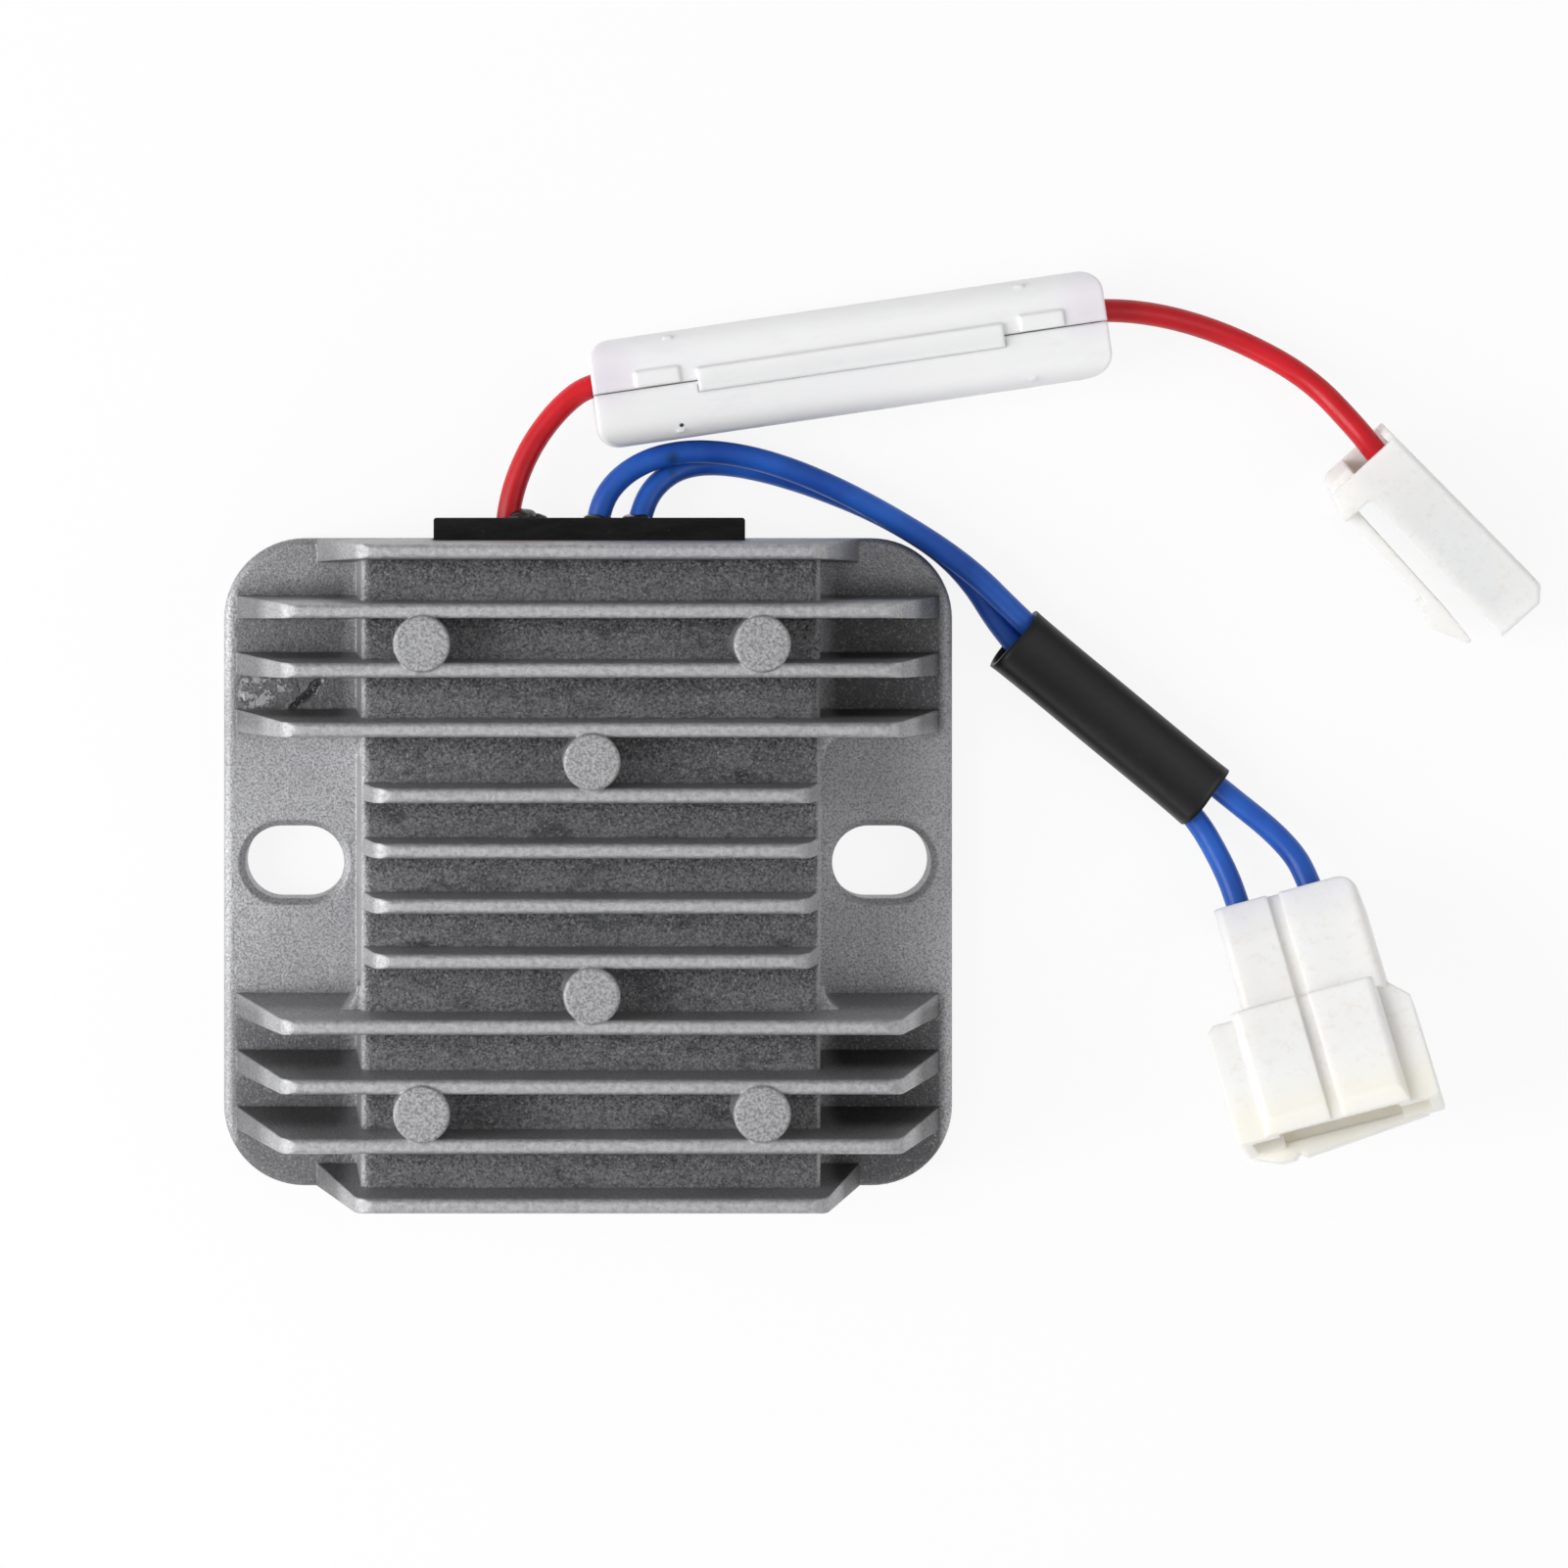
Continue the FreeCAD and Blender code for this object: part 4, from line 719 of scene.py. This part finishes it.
def casting_crumbs():
    """Grains of flash that stuck to the block beside the upper right boss."""
    patch = patch_on_housing("crumb_patch", (0.0200, 0.0228), (0.0212, 0.0236), 14, 0.0008)
    pattern = Pattern("crumbs_on_a_face")
    spots = pattern.add("GeometryNodeDistributePointsOnFaces", Mesh=pattern.source.outputs["Geometry"],
                        Density=pattern.given("Crumbs per square metre", "Float", 2.4e6),
                        Seed=pattern.given("Seed", "Int", 7))
    grain = pattern.add("GeometryNodeMeshIcoSphere", Radius=pattern.given("Crumb radius", "Float", 0.00013),
                        Subdivisions=2)
    size = pattern.add("FunctionNodeRandomValue", {"data_type": "FLOAT_VECTOR"}, Seed=3)
    size.inputs["Min"].default_value = (0.6, 0.6, 0.5)
    size.inputs["Max"].default_value = (1.7, 1.5, 1.1)
    turn = pattern.add("FunctionNodeRandomValue", {"data_type": "FLOAT_VECTOR"}, Seed=5)
    turn.inputs["Max"].default_value = (0.5, 0.5, 2 * math.pi)
    spread = pattern.add("GeometryNodeInstanceOnPoints", Points=spots.outputs["Points"],
                         Instance=grain.outputs["Mesh"], Rotation=turn.outputs["Value"],
                         Scale=size.outputs["Value"])
    pattern.end(spread.outputs["Instances"], ALUMINIUM)
    crumbs = pattern.made_plain(patch, "casting_crumbs")
    finished("casting_crumbs", crumbs, ALUMINIUM, "cast_aluminium")


def crimped_strands():
    """Twisted copper strands that show at the crimps, along the axis of each crimp."""
    axes = []
    for frame_of_piece, start, end in (
            (HOLDER, (-0.0196, 0.0015, 0.0045), (-0.0186, 0.0015, 0.0045)),
            (HOLDER, (0.0196, 0.0015, 0.0045), (0.0186, 0.0015, 0.0045)),
            (SINGLE, (0.0054, -0.00055, 0.0042), (0.0063, -0.00055, 0.0042)),
            (DOUBLE, (0.0046, -0.00365, 0.0), (0.0054, -0.00365, 0.0)),
            (DOUBLE, (0.0046, 0.00365, 0.0), (0.0054, 0.00365, 0.0))):
        axes.append((frame_of_piece @ Vector(start), frame_of_piece @ Vector(end)))
    lines = bpy.data.meshes.new("crimp_axes")
    lines.from_pydata([point for axis in axes for point in axis],
                      [(2 * row, 2 * row + 1) for row in range(len(axes))], [])
    pattern = Pattern("strands_along_a_line")
    count = pattern.given("Strands", "Int", 7)
    lay = pattern.given("Lay radius", "Float", 0.00042)
    line = pattern.add("GeometryNodeMeshToCurve", Mesh=pattern.source.outputs["Geometry"])
    copies = pattern.add("GeometryNodeDuplicateElements", {"domain": "SPLINE"},
                         Geometry=line.outputs["Curve"], Amount=count)
    fine = pattern.add("GeometryNodeResampleCurve", Curve=copies.outputs["Geometry"], Count=7)
    share = pattern.add("GeometryNodeSplineParameter").outputs["Factor"]
    place = pattern.number("DIVIDE", copies.outputs["Duplicate Index"], count)
    twist = pattern.number("MULTIPLY", share, 0.2)
    turn = pattern.number("MULTIPLY", pattern.number("ADD", place, twist), 2 * math.pi)
    normal = pattern.add("GeometryNodeInputNormal").outputs["Normal"]
    tangent = pattern.add("GeometryNodeInputTangent").outputs["Tangent"]
    side = pattern.vector("CROSS_PRODUCT", tangent, normal)
    out = pattern.vector("ADD", pattern.vector("SCALE", normal, scale=pattern.number("COSINE", turn)),
                         pattern.vector("SCALE", side, scale=pattern.number("SINE", turn)))
    moved = pattern.add("GeometryNodeSetPosition", Geometry=fine.outputs["Curve"],
                        Offset=pattern.vector("SCALE", out, scale=lay))
    section = pattern.add("GeometryNodeCurvePrimitiveCircle", Resolution=8,
                          Radius=pattern.given("Strand radius", "Float", 0.00017))
    skin = pattern.add("GeometryNodeCurveToMesh", Curve=moved.outputs["Geometry"],
                       Profile_Curve=section.outputs["Curve"], Fill_Caps=True)
    pattern.end(skin.outputs["Mesh"], COPPER)
    strands = pattern.made_plain(lines, "crimped_strands")
    finished("crimped_strands", strands, COPPER, "tinned_brass")


DOUBLE_NODES = ["double_connector_housing", "blade_terminal_a", "blade_terminal_b"]
ON_THE_BLUES = [nodes[name] for name in DOUBLE_NODES] + [shrink_sleeve()]
lead("red_lead_to_fuse", RED)
lead("red_lead_to_connector", RED)
lead("blue_lead_outer", BLUE)
lead("blue_lead_inner", BLUE)
exit_sealant()
casting_crumbs()
crimped_strands()


# Floor, light and camera

def studio_floor():
    """White sheet that the part lies on, shown white to the camera with a soft shadow."""
    half = 3.0
    whiteness = 0.88
    sheet = bpy.data.meshes.new("studio_floor")
    sheet.from_pydata([(-half, -half, 0), (half, -half, 0), (half, half, 0), (-half, half, 0)], [],
                      [(0, 1, 2, 3)])
    floor = new_object("studio_floor", sheet)
    paper = bpy.data.materials.new("paper_white")
    paper.use_nodes = True
    wiring = Wiring(paper.node_tree)
    wiring.tree.nodes.clear()
    matt = wiring.add("ShaderNodeBsdfDiffuse", Color=(0.90, 0.90, 0.90, 1))
    glow = wiring.add("ShaderNodeEmission", Color=(1, 1, 1, 1))
    rays = wiring.add("ShaderNodeLightPath").outputs
    share = rays["Is Camera Ray"]
    for operation, value in (("ADD", rays["Is Glossy Ray"]), ("ADD", rays["Is Transmission Ray"]),
                             ("MULTIPLY", whiteness)):
        settings = {"operation": operation, "use_clamp": True}
        share = wiring.add_in_order("ShaderNodeMath", settings, share, value).outputs[0]
    mix = wiring.add_in_order("ShaderNodeMixShader", {}, share, matt.outputs[0], glow.outputs[0])
    wiring.add("ShaderNodeOutputMaterial", Surface=mix.outputs[0])
    floor.data.materials.append(paper)


def softbox(name, place, aim, size, power):
    """Square lamp that points at the part."""
    light = bpy.data.lights.new(name, "AREA")
    light.shape = "RECTANGLE"
    light.size, light.size_y = size
    light.energy = power
    lamp = new_object(name, light)
    lamp.location = place
    lamp.rotation_euler = (Vector(aim) - Vector(place)).to_track_quat("-Z", "Y").to_euler()


def studio_light():
    world = bpy.data.worlds.new("studio_air")
    bpy.context.scene.world = world
    world.use_nodes = True
    air = world.node_tree.nodes["Background"]
    air.inputs["Color"].default_value = (1, 1, 1, 1)
    air.inputs["Strength"].default_value = 0.45
    middle = (0.02, 0.01, 0.0)
    softbox("left_softbox", (-0.60, -0.02, 0.32), middle, (0.35, 0.7), 4.8)
    softbox("front_softbox", (-0.20, -0.55, 0.40), middle, (0.5, 0.3), 0.8)
    softbox("right_softbox", (0.50, -0.05, 0.48), middle, (0.4, 0.4), 0.7)


def photo_camera():
    """Camera straight above, shifted as in the photo."""
    camera = bpy.data.cameras.new("photo_camera")
    camera.sensor_width = 36
    camera.lens = 78.2
    camera.shift_x = 0.172
    camera.shift_y = -0.162
    camera.clip_start = 0.01
    holder = new_object("photo_camera", camera)
    holder.location = (-0.0073, 0.0328, 0.340)
    bpy.context.scene.camera = holder


studio_floor()
studio_light()
photo_camera()
bpy.context.scene.view_settings.view_transform = "Standard"
